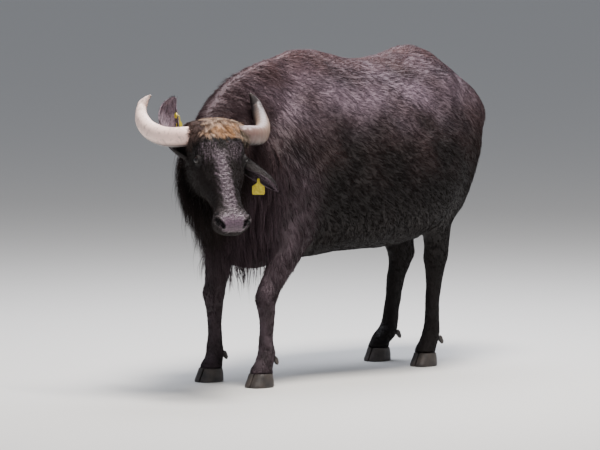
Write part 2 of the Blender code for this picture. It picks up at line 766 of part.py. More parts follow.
def tongue(name, path, widths, thicknesses, flat, look=None):
    """A closed flat strip with a lens-shaped section along a path, wide where widths say."""
    centres = [Vector(p) for p in path]
    rings = []
    for i, centre in enumerate(centres):
        along = (centres[min(i + 1, len(centres) - 1)] - centres[max(i - 1, 0)]).normalized()
        out = (flat - along * flat.dot(along)).normalized()
        across = along.cross(out)
        half, thick = widths[i] / 2, thicknesses[i] / 2
        edge = across * half
        face = out * thick
        rings.append([centre + edge, centre + face, centre - edge, centre - face])
    return new_object(name, skinned(rings), look)


def lid(name, side, upper):
    """A lid's rim: a tube over the front of the eye from its inner corner to its outer one."""
    middle = Vector((EYE_ALONG, EYE_OUT * side, EYE_LEVEL))
    look_out = Vector((0.10, side, 0.45)).normalized()
    along = Vector((0.95, -0.1 * side, -0.15))
    along = (along - look_out * along.dot(look_out)).normalized()
    rise = look_out.cross(along) * side
    rows = []
    for k in range(LID_STEPS + 1):
        t = 2 * k / LID_STEPS - 1
        height = (0.72 if upper else -0.66) * (1 - t * t) - 0.04
        forward = math.sqrt(max(0.10, 1 - t * t * 0.9 - height * height))
        direction = along * (t * 0.98) + rise * height + look_out * forward
        place = middle + direction.normalized() * (EYE_RADIUS + 0.0012)
        half = (0.0052 if upper else 0.0042) * (1 - 0.45 * t * t)
        rows.append((*place, half, half, half, 2, 2))
    return limb(name, rows, side=look_out, per_span=1, sides=6, frame=HEAD)


def nostril(side):
    """A comma-shaped hole running back into the muzzle."""
    rows = (
        (0.530, 0.061 * side, -0.050, 0.008, 0.014, 0.014, 2, 2),
        (0.492, 0.052 * side, -0.058, 0.007, 0.013, 0.013, 2, 2),
        (0.466, 0.044 * side, -0.068, 0.006, 0.011, 0.011, 2, 2),
        (0.446, 0.036 * side, -0.078, 0.004, 0.007, 0.007, 2, 2),
    )
    return limb("nostril", rows, side=Vector((0.25, 0.75, -0.60)), per_span=2, sides=10, frame=HEAD)


def mouth():
    """The line between the lips: a thin wedge round the muzzle from corner to corner."""
    path = []
    for k in range(MOUTH_STEPS + 1):
        turn = math.pi * (k / MOUTH_STEPS - 0.5)
        along = 0.400 + 0.128 * max(math.cos(turn), 0) ** 0.7
        level = -0.137 + 0.018 * math.sin(turn) ** 2
        path.append(HEAD @ Vector((along * HEAD_SCALE, 0.074 * math.sin(turn), level)))
    widths = [0.022] * len(path)
    thick = [0.0035] * len(path)
    return tongue("mouth", path, widths, thick, HEAD.to_3x3() @ Vector((0, 0, 1)))


def detailed(head):
    """Lids, eye sockets, nostrils and the line of the mouth worked into the head."""
    lids = []
    sockets = [mouth()]
    for side in SIDES.values():
        lids += [lid("upper_lid", side, True), lid("lower_lid", side, False)]
        centre = eye_place(side)
        sockets.append(ball("socket", centre, [EYE_RADIUS + GAP * 1.3] * 3, segments=16))
        sockets.append(nostril(side))
    combined(head, lids, "UNION")
    combined(head, sockets)
    return cleaned(head, HIDE)


def eye(name, side):
    return ball(name, eye_place(side), [EYE_RADIUS] * 3, EYE, segments=16)


def ear_tag(side):
    """A two-part ear tag: a button on one side of the ear, the pin, and on the other a flag that hangs down.

    The rings run from the button along the pin and round a bend into the flag.
    """
    left = side < 0
    centre, across, open_to, radius, spread, thick = ear_stations(side)[TAG_STATION[left]]
    turn = spread * TAG_TURN[left]
    out = across * math.sin(turn) - open_to * math.cos(turn)
    pin = centre + out * (radius - thick / 2)
    towards = -out if left else out
    face = (Vector((-0.77, -0.64, 0)) if left else Vector((0.22, -0.975, 0))).normalized()
    up = Vector((0, 0, 1))
    level = up.cross(towards).normalized()
    across_face = up.cross(face)
    rise = towards.cross(level)
    stand_off = thick / 2 + 0.0015
    rings = []
    button = ((-stand_off - 0.004, 0.011), (-stand_off, 0.012), (-stand_off, 0.003), (stand_off, 0.003))
    for along, wide in button:
        rings.append(ring(pin + towards * along, level, rise, wide, wide, wide, sides=12))
    bend = pin + towards * (stand_off + 0.004) - up * 0.001
    bend_level = (level + across_face) / 2
    rings.append(ring(bend, bend_level, (rise + face).normalized(), 0.0055, 0.003, 0.003, sides=12))
    top = pin + towards * (stand_off + 0.0055)
    for drop, wide, deep in (
        (0.009, 0.0055, 0.0014),
        (0.018, 0.0070, 0.0013),
        (0.032, TAG_WIDTH / 2, 0.0012),
        (TAG_HEIGHT - 0.004, TAG_WIDTH / 2, 0.0012),
        (TAG_HEIGHT, TAG_WIDTH / 2 - 0.003, 0.0010),
    ):
        rings.append(ring(top - up * drop, across_face, face, wide, deep, deep, 6, 6, sides=12))
    return new_object(f"ear_tag_{'left' if left else 'right'}", skinned(rings), TAG)


def tail():
    """The tail hanging from between the pin bones, with its switch of hair."""
    rows = (
        (1.020, 0.000, 1.215, 0.034, 0.036, 0.036),
        (1.085, 0.000, 1.190, 0.036, 0.036, 0.036),
        (1.138, 0.008, 1.125, 0.032, 0.032, 0.032),
        (1.150, 0.025, 1.000, 0.024, 0.024, 0.024),
        (1.135, 0.045, 0.850, 0.019, 0.019, 0.019),
        (1.110, 0.062, 0.700, 0.016, 0.016, 0.016),
        (1.090, 0.075, 0.580, 0.016, 0.016, 0.016),
        (1.078, 0.082, 0.500, 0.024, 0.024, 0.024),
        (1.072, 0.086, 0.420, 0.026, 0.026, 0.026),
        (1.068, 0.088, 0.340, 0.016, 0.016, 0.016),
        (1.066, 0.090, 0.300, 0.004, 0.004, 0.004),
    )
    return limb("tail", rows, side=Vector((0, 1, 0)), per_span=2, sides=10, look=HIDE)


def udder():
    """A small dry udder with four teats, high between the thighs."""
    body = ball("udder", (0.765, 0, 0.640), (0.105, 0.072, 0.070), HIDE, segments=14)
    teats = []
    for side in SIDES.values():
        for x in (0.735, 0.795):
            rows = (
                (x, 0.030 * side, 0.610, 0.011, 0.011, 0.011),
                (x, 0.032 * side, 0.570, 0.010, 0.010, 0.010),
                (x, 0.033 * side, 0.548, 0.008, 0.008, 0.008),
                (x, 0.033 * side, 0.542, 0.004, 0.004, 0.004),
            )
            teats.append(limb("teat", rows, per_span=1, sides=6))
    combined(body, teats, "UNION")
    return body


def claw(name, foot, out, side, hind):
    """One of a foot's two claws: flat beneath, steep in front and outside, and upright towards its fellow.

    foot and out are the place of the coronet's middle, and side is the way to the claw from there.
    """
    width, front, rear = (0.0445, 0.048, 0.044) if hind else (0.047, 0.050, 0.046)
    cleft = out + side * CLEFT / 2
    levels = (
        (0.000, 1.08, 1.44, 1.10, -0.003),
        (0.010, 1.10, 1.42, 1.12, -0.003),
        (0.034, 1.04, 1.18, 1.05, 0),
        (CORONET_HEIGHT - GAP, 0.96, 0.94, 0.94, 0),
    )
    rings = []
    for z, wide, ahead, behind, shift in levels:
        points = []
        for k in range(CLAW_SIDES):
            turn = math.pi * k / (CLAW_SIDES - 1) - math.pi / 2
            reach = front * ahead if math.sin(turn) < 0 else rear * behind
            x = foot + math.copysign(abs(math.sin(turn)) ** 0.9, math.sin(turn)) * reach + shift
            bulge = max(math.cos(turn), 0) ** 0.75 * width * wide
            points.append(Vector((x, cleft + side * bulge, z)))
        rings.append(points)
    return new_object(name, skinned(rings), HOOF)


def dewclaw(name, x, y, z, side, legs):
    """A small blunt horn behind the fetlock."""
    rows = (
        (x - 0.010, y, z + 0.014, 0.010, 0.010, 0.010),
        (x + 0.004, y + 0.003 * side, z + 0.002, 0.013, 0.013, 0.011),
        (x + 0.013, y + 0.005 * side, z - 0.014, 0.010, 0.010, 0.008),
        (x + 0.015, y + 0.006 * side, z - 0.022, 0.005, 0.005, 0.004),
    )
    made = limb(name, rows, side=Vector((0, 1, 0)), per_span=1, sides=6, look=HOOF)
    return clear_of(made, legs)


def feet(parts):
    """Claws and dewclaws under and behind the four lower legs."""
    made = {}
    for leg, x, y, hind in (
        ("fore_leg_left", FORE_FEET[0], -FORE_OUT, False),
        ("fore_leg_right", FORE_FEET[1], FORE_OUT, False),
        ("hind_leg_left", HIND_FEET[0], -HIND_OUT, True),
        ("hind_leg_right", HIND_FEET[1], HIND_OUT, True),
    ):
        lower = parts[f"{leg}_lower"]
        for place, side in (("inner", -math.copysign(1, y)), ("outer", math.copysign(1, y))):
            name = f"claw_{leg.replace('_leg', '')}_{place}"
            made[name] = claw(name, x, y, side, hind)
            name = f"dew{name}"
            points = places(lower)
            near = points[np.abs(points[:, 2] - 0.115) < 0.02]
            made[name] = dewclaw(name, near[:, 0].max() - 0.010, y + side * 0.021, 0.112, side, [lower])
    return made


def settle_on_ground(objects):
    """The origin under the middle of the box round the whole animal."""
    low = np.min([places(o).min(axis=0) for o in objects], axis=0)
    high = np.max([places(o).max(axis=0) for o in objects], axis=0)
    shift = Matrix.Translation((-(low[0] + high[0]) / 2, -(low[1] + high[1]) / 2, -low[2]))
    for obj in objects:
        obj.data.transform(shift)


clear_scene()
flesh = thinned(whole_flesh())
parts = parted(flesh)
plain_head = parts["head"].copy()
plain_head.data = parts["head"].data.copy()
bpy.context.scene.collection.objects.link(plain_head)
detailed(parts["head"])
for side_name, side in SIDES.items():
    parts[f"horn_{side_name}"] = horn(side, plain_head)
    tag = ear_tag(side)
    parts[f"ear_tag_{side_name}"] = tag
    parts[f"ear_{side_name}"] = ear(side, [plain_head, tag, parts[f"horn_{side_name}"]])
    parts[f"eye_{side_name}"] = eye(f"eye_{side_name}", side)
bpy.data.objects.remove(plain_head)
parts["tail"] = clear_of(tail(), [parts["trunk"]])
thighs = [parts["hind_leg_left_upper"], parts["hind_leg_right_upper"]]
parts["udder"] = clear_of(udder(), [parts["trunk"], *thighs])
parts.update(feet(parts))
settle_on_ground(list(parts.values()))
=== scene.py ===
"""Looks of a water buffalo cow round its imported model: hide, coat, horns, eyes, hooves and ear tags."""

import math

import bmesh
import bpy
import numpy as np
from mathutils import Matrix, Vector


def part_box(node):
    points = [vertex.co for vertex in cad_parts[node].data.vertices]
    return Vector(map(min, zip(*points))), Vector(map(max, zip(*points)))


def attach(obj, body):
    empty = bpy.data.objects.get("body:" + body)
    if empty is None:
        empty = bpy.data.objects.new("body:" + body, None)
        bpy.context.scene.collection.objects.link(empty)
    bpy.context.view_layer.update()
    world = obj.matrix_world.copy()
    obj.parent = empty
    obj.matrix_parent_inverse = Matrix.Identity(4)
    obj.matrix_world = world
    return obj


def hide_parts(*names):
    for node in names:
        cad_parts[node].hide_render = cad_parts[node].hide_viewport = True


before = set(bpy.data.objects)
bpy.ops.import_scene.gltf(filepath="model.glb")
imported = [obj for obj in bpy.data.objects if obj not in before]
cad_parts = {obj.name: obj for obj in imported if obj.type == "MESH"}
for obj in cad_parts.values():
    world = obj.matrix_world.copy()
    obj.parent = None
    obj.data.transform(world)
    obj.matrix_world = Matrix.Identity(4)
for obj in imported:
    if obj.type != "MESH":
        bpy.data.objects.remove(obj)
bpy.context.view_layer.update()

# The hide: a buffalo's thick skin, grown in one piece over trunk, neck, head, legs, tail, udder and ears. It
# is drawn over the solids of the flesh and set in by the coat's depth, so that no cut between them shows.
SIDES = {"left": -1, "right": 1}
ENDS = ("fore", "hind")
LEGS = [f"{end}_leg_{side}_{part}" for end in ENDS for side in SIDES for part in ("upper", "lower")]
FLESH = ["trunk", "neck", "head", "tail", "udder", "ear_left", "ear_right"] + LEGS
SKIN_VOXEL = 0.005
SKIN_TRIANGLES = 105000
BRIDGE_OVER_CUTS = 0.0005
WELD = 0.00003


def placed(name, data):
    """A new object in the scene that shows this mesh, lamp or camera."""
    made = bpy.data.objects.new(name, data)
    bpy.context.scene.collection.objects.link(made)
    return made


def from_bmesh(name, bm):
    """A new object with the bmesh as its mesh. The bmesh is used up."""
    mesh = bpy.data.meshes.new(name)
    bm.to_mesh(mesh)
    bm.free()
    return placed(name, mesh)


def welded_copy(name, solids):
    """These solids in one object, with the loose corners of their triangles joined."""
    bm = bmesh.new()
    for solid in solids:
        bm.from_mesh(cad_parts[solid].data)
    bmesh.ops.remove_doubles(bm, verts=bm.verts, dist=WELD)
    return from_bmesh(name, bm)


def add_modifier(obj, kind, **settings):
    made = obj.modifiers.new(kind.lower(), kind)
    for name, value in settings.items():
        setattr(made, name, value)


def settle(obj):
    """Applies the object's modifiers, to a mesh of its own."""
    bpy.context.view_layer.update()
    graph = bpy.context.evaluated_depsgraph_get()
    mesh = bpy.data.meshes.new_from_object(obj.evaluated_get(graph), depsgraph=graph)
    obj.modifiers.clear()
    obj.data = mesh


hide = welded_copy("hide", [name for name in FLESH if not name.startswith("ear")])
add_modifier(hide, "DISPLACE", strength=BRIDGE_OVER_CUTS, mid_level=0)
add_modifier(hide, "REMESH", mode="VOXEL", voxel_size=SKIN_VOXEL)
settle(hide)

# The cow's own axes. Body places are measured from the ground under the withers, with the tail towards +X and
# the right side towards +Y. Head places run from the poll: to the nose, to the cow's left, and out of the
# brow. The eye's node tells where both stand in the frame.
HEAD_TURN = math.radians(55)
HEAD_PITCH = math.radians(48)
POLL = Vector((-0.757, -0.242, 1.138))
EYE_IN_HEAD = Vector((0.165, 0.0955, -0.048))

heading = Vector((-math.cos(HEAD_TURN), -math.sin(HEAD_TURN), 0))
to_nose = heading * math.cos(HEAD_PITCH) + Vector((0, 0, -math.sin(HEAD_PITCH)))
to_left = Vector((0, 0, 1)).cross(heading)
HEAD = Matrix.Translation(POLL) @ Matrix((to_nose, to_left, to_nose.cross(to_left))).transposed().to_4x4()
eye_low, eye_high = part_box("eye_left")
WITHERS = (eye_low + eye_high) / 2 - HEAD @ EYE_IN_HEAD
HEAD = Matrix.Translation(WITHERS) @ HEAD
HEAD_AT = np.array(HEAD.to_translation())
HEAD_AXES = np.array(HEAD.to_3x3())


def in_body(points):
    """The points as measured from the ground under the withers."""
    return points - np.array(WITHERS)


def in_head(points):
    """The points in the head's own axes."""
    return (points - HEAD_AT) @ HEAD_AXES


def grade(values, low, high):
    """0 at low and below, 1 at high and above, with an easy slope between."""
    t = np.clip((values - low) / (high - low), 0, 1)
    return t * t * (3 - 2 * t)


def fade(values, low, high):
    """1 at low and below, 0 at high and above, with the same slope."""
    return 1 - grade(values, low, high)


def on_head(points):
    """1 on the head, 0 on the neck, with a soft border where the throat begins."""
    body = in_body(points)
    away = (body - np.array((-0.655, -0.130, 0.94))) @ np.array((-0.722, -0.692, 0))
    return grade(away, -0.03, 0.03) * grade(points[:, 2], 0.55, 0.62)


def rows_of(items, name, width, kind=np.float32):
    """What these items of a mesh carry under this name, one row to each item."""
    found = np.empty(len(items) * width, kind)
    items.foreach_get(name, found)
    return found.reshape(-1, width)


def vertex_places(mesh):
    return rows_of(mesh.vertices, "co", 3).astype(float)


def weight_group(obj, name, weights):
    """A vertex group with these weights, in sixteen steps."""
    made = obj.vertex_groups.new(name=name)
    steps = np.round(weights * 16).astype(int)
    for step in range(1, 17):
        made.add(np.nonzero(steps == step)[0].tolist(), step / 16, "REPLACE")


# The skin is smoothed most on the body's broad forms, and then gives up points everywhere but on the head.
SMOOTH_ROUNDS = 12
BROAD_SMOOTH_ROUNDS = 160
points = vertex_places(hide.data)
face_share = on_head(points)
high_share = grade(in_body(points)[:, 2], 0.52, 0.68)
weight_group(hide, "broad", (1 - face_share) * high_share)
add_modifier(hide, "SMOOTH", factor=0.5, iterations=SMOOTH_ROUNDS)
add_modifier(hide, "SMOOTH", factor=0.5, iterations=BROAD_SMOOTH_ROUNDS, vertex_group="broad")
settle(hide)
points = vertex_places(hide.data)
hide.vertex_groups.clear()
weight_group(hide, "give_up", 1 - on_head(points))
wanted = SKIN_TRIANGLES / (2 * len(hide.data.polygons))
add_modifier(hide, "DECIMATE", ratio=wanted, vertex_group="give_up")
settle(hide)
hide.vertex_groups.clear()


def eye_place(side):
    """The middle of an eye in the head's axes. The left one is side 1."""
    return np.array((EYE_IN_HEAD.x, EYE_IN_HEAD.y * side, EYE_IN_HEAD.z))


def refine(mesh):
    """Splits the skin finer round the eyes, on the bridge and over the muzzle, where its folds are small."""
    bm = bmesh.new()
    bm.from_mesh(mesh)
    for reach in (0.046, 0.036):
        head = in_head(np.array([v.co for v in bm.verts]))
        chosen = np.zeros(len(head), bool)
        for side in SIDES.values():
            chosen |= np.linalg.norm(head - eye_place(side), axis=1) < reach
        if reach > 0.04:
            a, b, c = head.T
            chosen |= (a > 0.37) & (np.abs(b) < 0.10) & (c > -0.22) & (c < 0.02)
            chosen |= (a > 0.12) & (np.abs(b) < 0.045) & (c > -0.06)
        bm.verts.ensure_lookup_table()
        edges = [e for e in bm.edges if chosen[e.verts[0].index] and chosen[e.verts[1].index]]
        bmesh.ops.subdivide_edges(bm, edges=edges, cuts=1, use_grid_fill=True)
        bmesh.ops.triangulate(bm, faces=bm.faces)
        bm.verts.index_update()
    bm.to_mesh(mesh)
    bm.free()


refine(hide.data)

# The hair that the solids carry as smooth mounds of throat, dewlap, brisket and poll: place, reach and
# height. The skin is set in by most of it, and the long hair fills that again.
HAIR_MOUNDS = (
    ((-0.70, 0.00, 0.94), (0.14, 0.14, 0.20), 0.022),
    ((-0.68, -0.07, 0.76), (0.16, 0.14, 0.15), 0.018),
    ((-0.48, 0.07, 0.65), (0.20, 0.16, 0.20), 0.020),
    ((-0.32, 0.20, 0.58), (0.14, 0.12, 0.18), 0.014),
)
MOUND_SHARE = 0.8
POLL_DEPTH = 0.011
BODY_COAT_DEPTH = 0.0045
LEAST_DEPTH = 0.0020


def ripples(points, wavelength, seed):
    """Smooth random unevenness of about this wavelength in metres, mostly between -1 and 1."""
    draw = np.random.default_rng(seed)
    total = np.zeros(len(points))
    for _ in range(7):
        way = draw.normal(size=3)
        way /= np.linalg.norm(way) * wavelength * draw.uniform(0.7, 1.4)
        total += np.sin(points @ way * 2 * np.pi + draw.uniform(0, 2 * np.pi))
    return total / 2.2


def from_head(vectors):
    """Directions in the head's axes turned into the frame's."""
    return vectors @ HEAD_AXES.T


def unit(vectors):
    return vectors / np.maximum(np.linalg.norm(vectors, axis=-1, keepdims=True), 1e-9)


def mixed(first, second, share):
    """Rows of colours or directions between the first and the second."""
    return first + (second - first) * share[:, None]


# The face: nostrils along short lines, lips, folds, and lids over the eyeball, all pressed into or drawn out
# of the skin. HEAD_SCALE is the share of its drawn length that the solids' muzzle has.
NOSTRIL = ((0.487, 0.042, -0.066), (0.485, 0.050, -0.057), (0.476, 0.059, -0.054), (0.464, 0.066, -0.060))
EYE_RADIUS = 0.019
LID_THICK = 0.0020
EYE_HALF_LENGTH = 0.0155
EYE_HALF_HEIGHT = 0.0072
HEAD_SCALE = 0.505 / 0.53


def pad(head):
    """1 on the bare pad between the nostrils and down to the lips, 0 elsewhere."""
    a, b, c = head.T
    edge = 0.006 * ripples(head, 0.012, 17)
    front = grade(a + edge, 0.440, 0.462)
    narrow = fade(np.abs(b) + edge, 0.040, 0.054)
    return front * narrow * grade(c + edge, -0.098, -0.084) * fade(c + edge, -0.038, -0.024)


def bridge(head):
    """1 along the bare, wrinkled bridge of the nose."""
    a, b, c = head.T
    middle = -0.012 * fade(a, 0.20, 0.42)
    away = np.abs(b - middle) + 0.006 * ripples(head, 0.02, 19)
    along = grade(a, 0.135, 0.175) * fade(a, 0.45, 0.48) * grade(c, -0.07, -0.04)
    return along * fade(away, 0.012, 0.036)


def wrinkles(body, head, face):
    """Shallow folds: across the bridge, down the middle of the pad, down the throat and at the knees."""
    x, y, z = body.T
    rise = 0.0010 * ripples(head * np.array((1, 0.5, 1)), 0.009, 21) * bridge(head) * face
    rise -= 0.0020 * np.exp(-((head[:, 1] / 0.0022) ** 2)) * pad(head) * face
    throat = (1 - face) * grade(-x, 0.30, 0.48) * fade(z, 1.0, 1.15) * grade(z, 0.55, 0.65)
    rise += 0.0035 * np.sin((x * 0.9 + y * 0.7) * 2 * np.pi / 0.055 + ripples(body, 0.20, 22)) * throat
    knees = fade(z, 0.36, 0.46) * grade(z, 0.10, 0.16)
    rise += 0.0008 * ripples(body * np.array((1, 1, 2.5)), 0.02, 23) * knees
    return rise + 0.0012 * ripples(body, 0.09, 24) * (1 - face)


def mouth_line(turn):
    """A place on the line between the lips, from corner to corner as turn goes from -90 to 90 degrees."""
    a = (0.400 + 0.128 * max(math.cos(turn), 0) ** 0.7) * HEAD_SCALE
    return np.array((a, 0.074 * math.sin(turn), -0.137 + 0.018 * math.sin(turn) ** 2))


def with_muzzle(head, inward):
    """The nostrils sunk and their wings raised, and the lips rolled outwards and parted by a line."""
    rise = np.zeros(len(head))
    line = np.array([mouth_line(math.pi * (k / 40 - 0.5)) for k in range(41)])
    near = head[:, 0] > 0.34
    spots = head[near]
    away = np.min(np.linalg.norm(spots[:, None] - line[None], axis=2), axis=1)
    lip = 0.0022 * np.exp(-(((away - 0.0085) / 0.0055) ** 2))
    rise[near] += -0.0045 * np.exp(-((away / 0.0026) ** 2)) + lip
    for side in (1, -1):
        spots = [np.array((a, b * side, c)) for a, b, c in NOSTRIL]
        spots = [head[np.argmin(np.linalg.norm(head - spot, axis=1))] for spot in spots]
        away = np.min([np.linalg.norm(head - spot, axis=1) for spot in spots], axis=0)
        rise -= 0.015 * np.exp(-((away / 0.0080) ** 4))
        rise += 0.0035 * np.exp(-(((away - 0.0135) / 0.0045) ** 2))
    return head + inward * rise[:, None]


def eye_axes(side):
    """In the head's axes: the eye's middle, the way it looks, its length and its rise. Left is side 1."""
    outward = unit(np.array((0.10, side, 0.45)))
    length = np.array((0.95, -0.1 * side, -0.15))
    length = unit(length - outward * (length @ outward))
    return eye_place(side), outward, length, np.cross(outward, length) * side


def with_lids(head):
    """Points near an eye laid over the eyeball as lids, and pushed under it inside the slit."""
    for side in (1, -1):
        middle, outward, length, rise = eye_axes(side)
        away = head - middle
        reach = np.linalg.norm(away, axis=1)
        near = (reach < 0.048) & (away @ outward > -0.004)
        spot = away[near]
        x = spot @ length
        y = spot @ rise
        slit = EYE_HALF_HEIGHT * (1 - (x / EYE_HALF_LENGTH) ** 2)
        past_corner = np.hypot(np.abs(x) - EYE_HALF_LENGTH, y)
        beyond = np.where(np.abs(x) < EYE_HALF_LENGTH, np.abs(y) - slit, past_corner)
        rim = LID_THICK + 0.0016 * np.exp(-((beyond / 0.0022) ** 2))
        fold = -0.0014 * np.exp(-(((beyond - 0.0085) / 0.0020) ** 2)) * (y > 0)
        radius = np.where(beyond > 0, EYE_RADIUS + rim + fold, EYE_RADIUS - 0.0030)
        laid = middle + unit(spot) * radius[:, None]
        keep = grade(np.maximum(beyond, 0), 0.007, 0.024)
        head[near] = mixed(laid, head[near], keep)
    return head


def vertex_normals(mesh):
    return rows_of(mesh.vertices, "normal", 3).astype(float)


def move_vertices(mesh, places):
    mesh.vertices.foreach_set("co", places.astype(np.float32).ravel())
    mesh.update()


points = vertex_places(hide.data)
normals = vertex_normals(hide.data)
body = in_body(points)
head = in_head(points)
face_share = on_head(points)
depth = BODY_COAT_DEPTH * grade(body[:, 2], 0.45, 0.75) * (1 - face_share) + LEAST_DEPTH
depth *= 1 - grade(head[:, 0], 0.42, 0.47) * face_share
for place, reach, height in HAIR_MOUNDS:
    away = np.linalg.norm((body - np.array(place)) / np.array(reach), axis=1)
    depth += MOUND_SHARE * height * np.exp(-0.5 * (away * 2) ** 2)
poll = fade(head[:, 0], 0.05, 0.11) * grade(head[:, 0], -0.10, -0.05) * grade(head[:, 2], -0.12, -0.04)
depth += POLL_DEPTH * poll * face_share * (1 - 0.8 * grade(-head[:, 1], 0.06, 0.10))
points = points - normals * depth[:, None]
points = points + normals * wrinkles(body, head, face_share)[:, None]
head = with_muzzle(in_head(points), normals @ HEAD_AXES)
head = with_lids(head)
move_vertices(hide.data, HEAD_AT + from_head(head))

# The ears: a cupped sheet of gristle in the same skin, its root sunk into the head. Each is drawn as rings of
# an outer and an inner face along its own path, from sections of this radius, spread and thickness.
EAR_BASE = (0.075, 0.10, -0.140)
EAR_PATHS = {
    "left": (
        (0, 0, 0),
        (0.010, -0.040, -0.040),
        (0.026, -0.090, -0.088),
        (0.046, -0.131, -0.125),
        (0.071, -0.162, -0.153),
    ),
    "right": (
        (0, 0, 0),
        (-0.032, 0.056, 0.060),
        (-0.026, 0.090, 0.140),
        (-0.012, 0.101, 0.194),
        (0.005, 0.084, 0.240),
    ),
}
EAR_OPENINGS = {"left": Vector((-0.42, -0.22, -0.88)), "right": Vector((-0.74, -0.66, 0.05))}
EAR_SECTIONS = (
    (0.026, 2.9, 0.006),
    (0.033, 2.4, 0.006),
    (0.042, 1.65, 0.005),
    (0.038, 1.3, 0.0045),
    (0.012, 0.9, 0.003),
)
EAR_STEPS = 9
EAR_ARC = 22
EAR_INSET = 0.0008


def eased(rows, per_span):
    """Rows of numbers with a smooth curve through them, per_span steps from each to the next."""
    rows = np.array(rows, float)
    padded = np.vstack([2 * rows[0] - rows[1], rows, 2 * rows[-1] - rows[-2]])
    found = []
    for i in range(1, len(padded) - 2):
        before, start, end, after = padded[i - 1 : i + 3]
        for t in np.arange(per_span) / per_span:
            bend = 2 * before - 5 * start + 4 * end - after
            turn = 3 * start - before - 3 * end + after
            found.append(0.5 * (2 * start + (end - before) * t + bend * t**2 + turn * t**3))
    found.append(rows[-1])
    return np.array(found)


def skinned(rings):
    """A closed bmesh through rings of equal length, with a fan over each end, its faces outwards."""
    bm = bmesh.new()
    rows = [[bm.verts.new(p) for p in ring] for ring in rings]
    for lower, upper in zip(rows, rows[1:]):
        for k in range(len(lower)):
            nxt = (k + 1) % len(lower)
            bm.faces.new((lower[k], lower[nxt], upper[nxt], upper[k]))
    for row in (rows[0], rows[-1]):
        middle = bm.verts.new(sum((v.co for v in row), Vector()) / len(row))
        for k in range(len(row)):
            bm.faces.new((row[k], row[(k + 1) % len(row)], middle))
    bmesh.ops.triangulate(bm, faces=bm.faces)
    bmesh.ops.recalc_face_normals(bm, faces=bm.faces)
    return bm


def ear_root(name):
    """Where the ear leaves the head, in the frame."""
    return HEAD @ Vector((EAR_BASE[0], -EAR_BASE[1] * SIDES[name], EAR_BASE[2]))


def ear_rings(name):
    """Rings round one cupped ear from its root to its tip, the outer face first and then the inner."""
    middle = eased(EAR_PATHS[name], EAR_STEPS)
    sizes = eased(EAR_SECTIONS, EAR_STEPS)
    rings = []
    for i, (radius, spread, thick) in enumerate(sizes):
        along = Vector(middle[min(i + 1, len(middle) - 1)] - middle[max(i - 1, 0)]).normalized()
        open_to = (EAR_OPENINGS[name] - along * EAR_OPENINGS[name].dot(along)).normalized()
        across = along.cross(open_to)
        centre = ear_root(name) + Vector(middle[i])
        points = []
        turns = [spread * (2 * k / (EAR_ARC - 1) - 1) for k in range(EAR_ARC)]
        for turn in turns:
            out = across * math.sin(turn) - open_to * math.cos(turn)
            points.append(centre + out * (radius - EAR_INSET))
        for turn in reversed(turns):
            inner = turn * 0.97
            rib = 0.0012 * math.cos(inner * 7) * min(1, 3 * i / len(sizes))
            reach = radius - thick + EAR_INSET + rib
            out = across * math.sin(inner) - open_to * math.cos(inner)
            points.append(centre + out * reach)
        rings.append(points)
    return rings


def smooth(mesh):
    """Shades the mesh as one round surface."""
    mesh.polygons.foreach_set("use_smooth", [True] * len(mesh.polygons))
    mesh.update()


body_vertices = len(hide.data.vertices)
bm = bmesh.new()
bm.from_mesh(hide.data)
for side_name in SIDES:
    ear = skinned(ear_rings(side_name))
    ear_mesh = bpy.data.meshes.new("ear")
    ear.to_mesh(ear_mesh)
    ear.free()
    bm.from_mesh(ear_mesh)
bm.to_mesh(hide.data)
bm.free()
smooth(hide.data)

# The hide's own flat unwrap. Each tuft of hair later takes the place of its root on it.
BAKE_MAP = "OFBake"
hide.data.uv_layers.new(name=BAKE_MAP)
bpy.context.view_layer.objects.active = hide
hide.select_set(True)
bpy.ops.object.mode_set(mode="EDIT")
bpy.ops.mesh.select_all(action="SELECT")
bpy.ops.uv.smart_project(angle_limit=math.radians(80), island_margin=0.002)
bpy.ops.object.mode_set(mode="OBJECT")
hide.select_set(False)


# The markings. A grown cow is black brown, rusty along the back and rump, with a tan mat on the poll, a grey
# bridge of the nose and a mauve bare muzzle. Light is painted in as well: a violet-grey painted sheen over
# the upper body, painted shade low on the body, round the eyes and in hollows, and painted glints on the wet
# face.
# Hide and hair both read them here.
def linear(code):
    """The linear colour of an sRGB hex code."""
    values = [int(code[i : i + 2], 16) / 255 for i in (0, 2, 4)]
    return np.array([v / 12.92 if v <= 0.04045 else ((v + 0.055) / 1.055) ** 2.4 for v in values])


BLACK_BROWN = linear("191211")
WARM_BROWN = linear("3e2f2f")
# Painted sheen: the violet grey that light from above gives the hair of the upper body.
PAINTED_SHEEN = linear("7b6974")
RUST = linear("5e4748")
# The fore legs' mauve brown hair, partly painted sheen of the wet hair.
LEG_MAUVE_AND_SHEEN = linear("4c3f45")
POLL_TAN = linear("bd8f66")
POLL_GREY = linear("a9917f")
POLL_OLIVE = linear("74695c")
POLL_DARK = linear("3a2d2e")
# Grey bare skin of the bridge, also used as painted glints on bridge and brow.
NOSE_GREY_AND_GLINTS = linear("685a63")
MUZZLE_MAUVE = linear("5c4b57")
STUBBLE_GREY = linear("5a5154")
# The inner ear, partly painted light: lighter in the lit right ear, darker in the shaded left one.
EAR_INNER_LIT_AND_SHADED = {"left": linear("7c6b76"), "right": linear("9a8894")}
# Painted shade for hollows: inside the nostrils and under the poll's mat.
PAINTED_HOLLOW_SHADE = linear("0c090a")


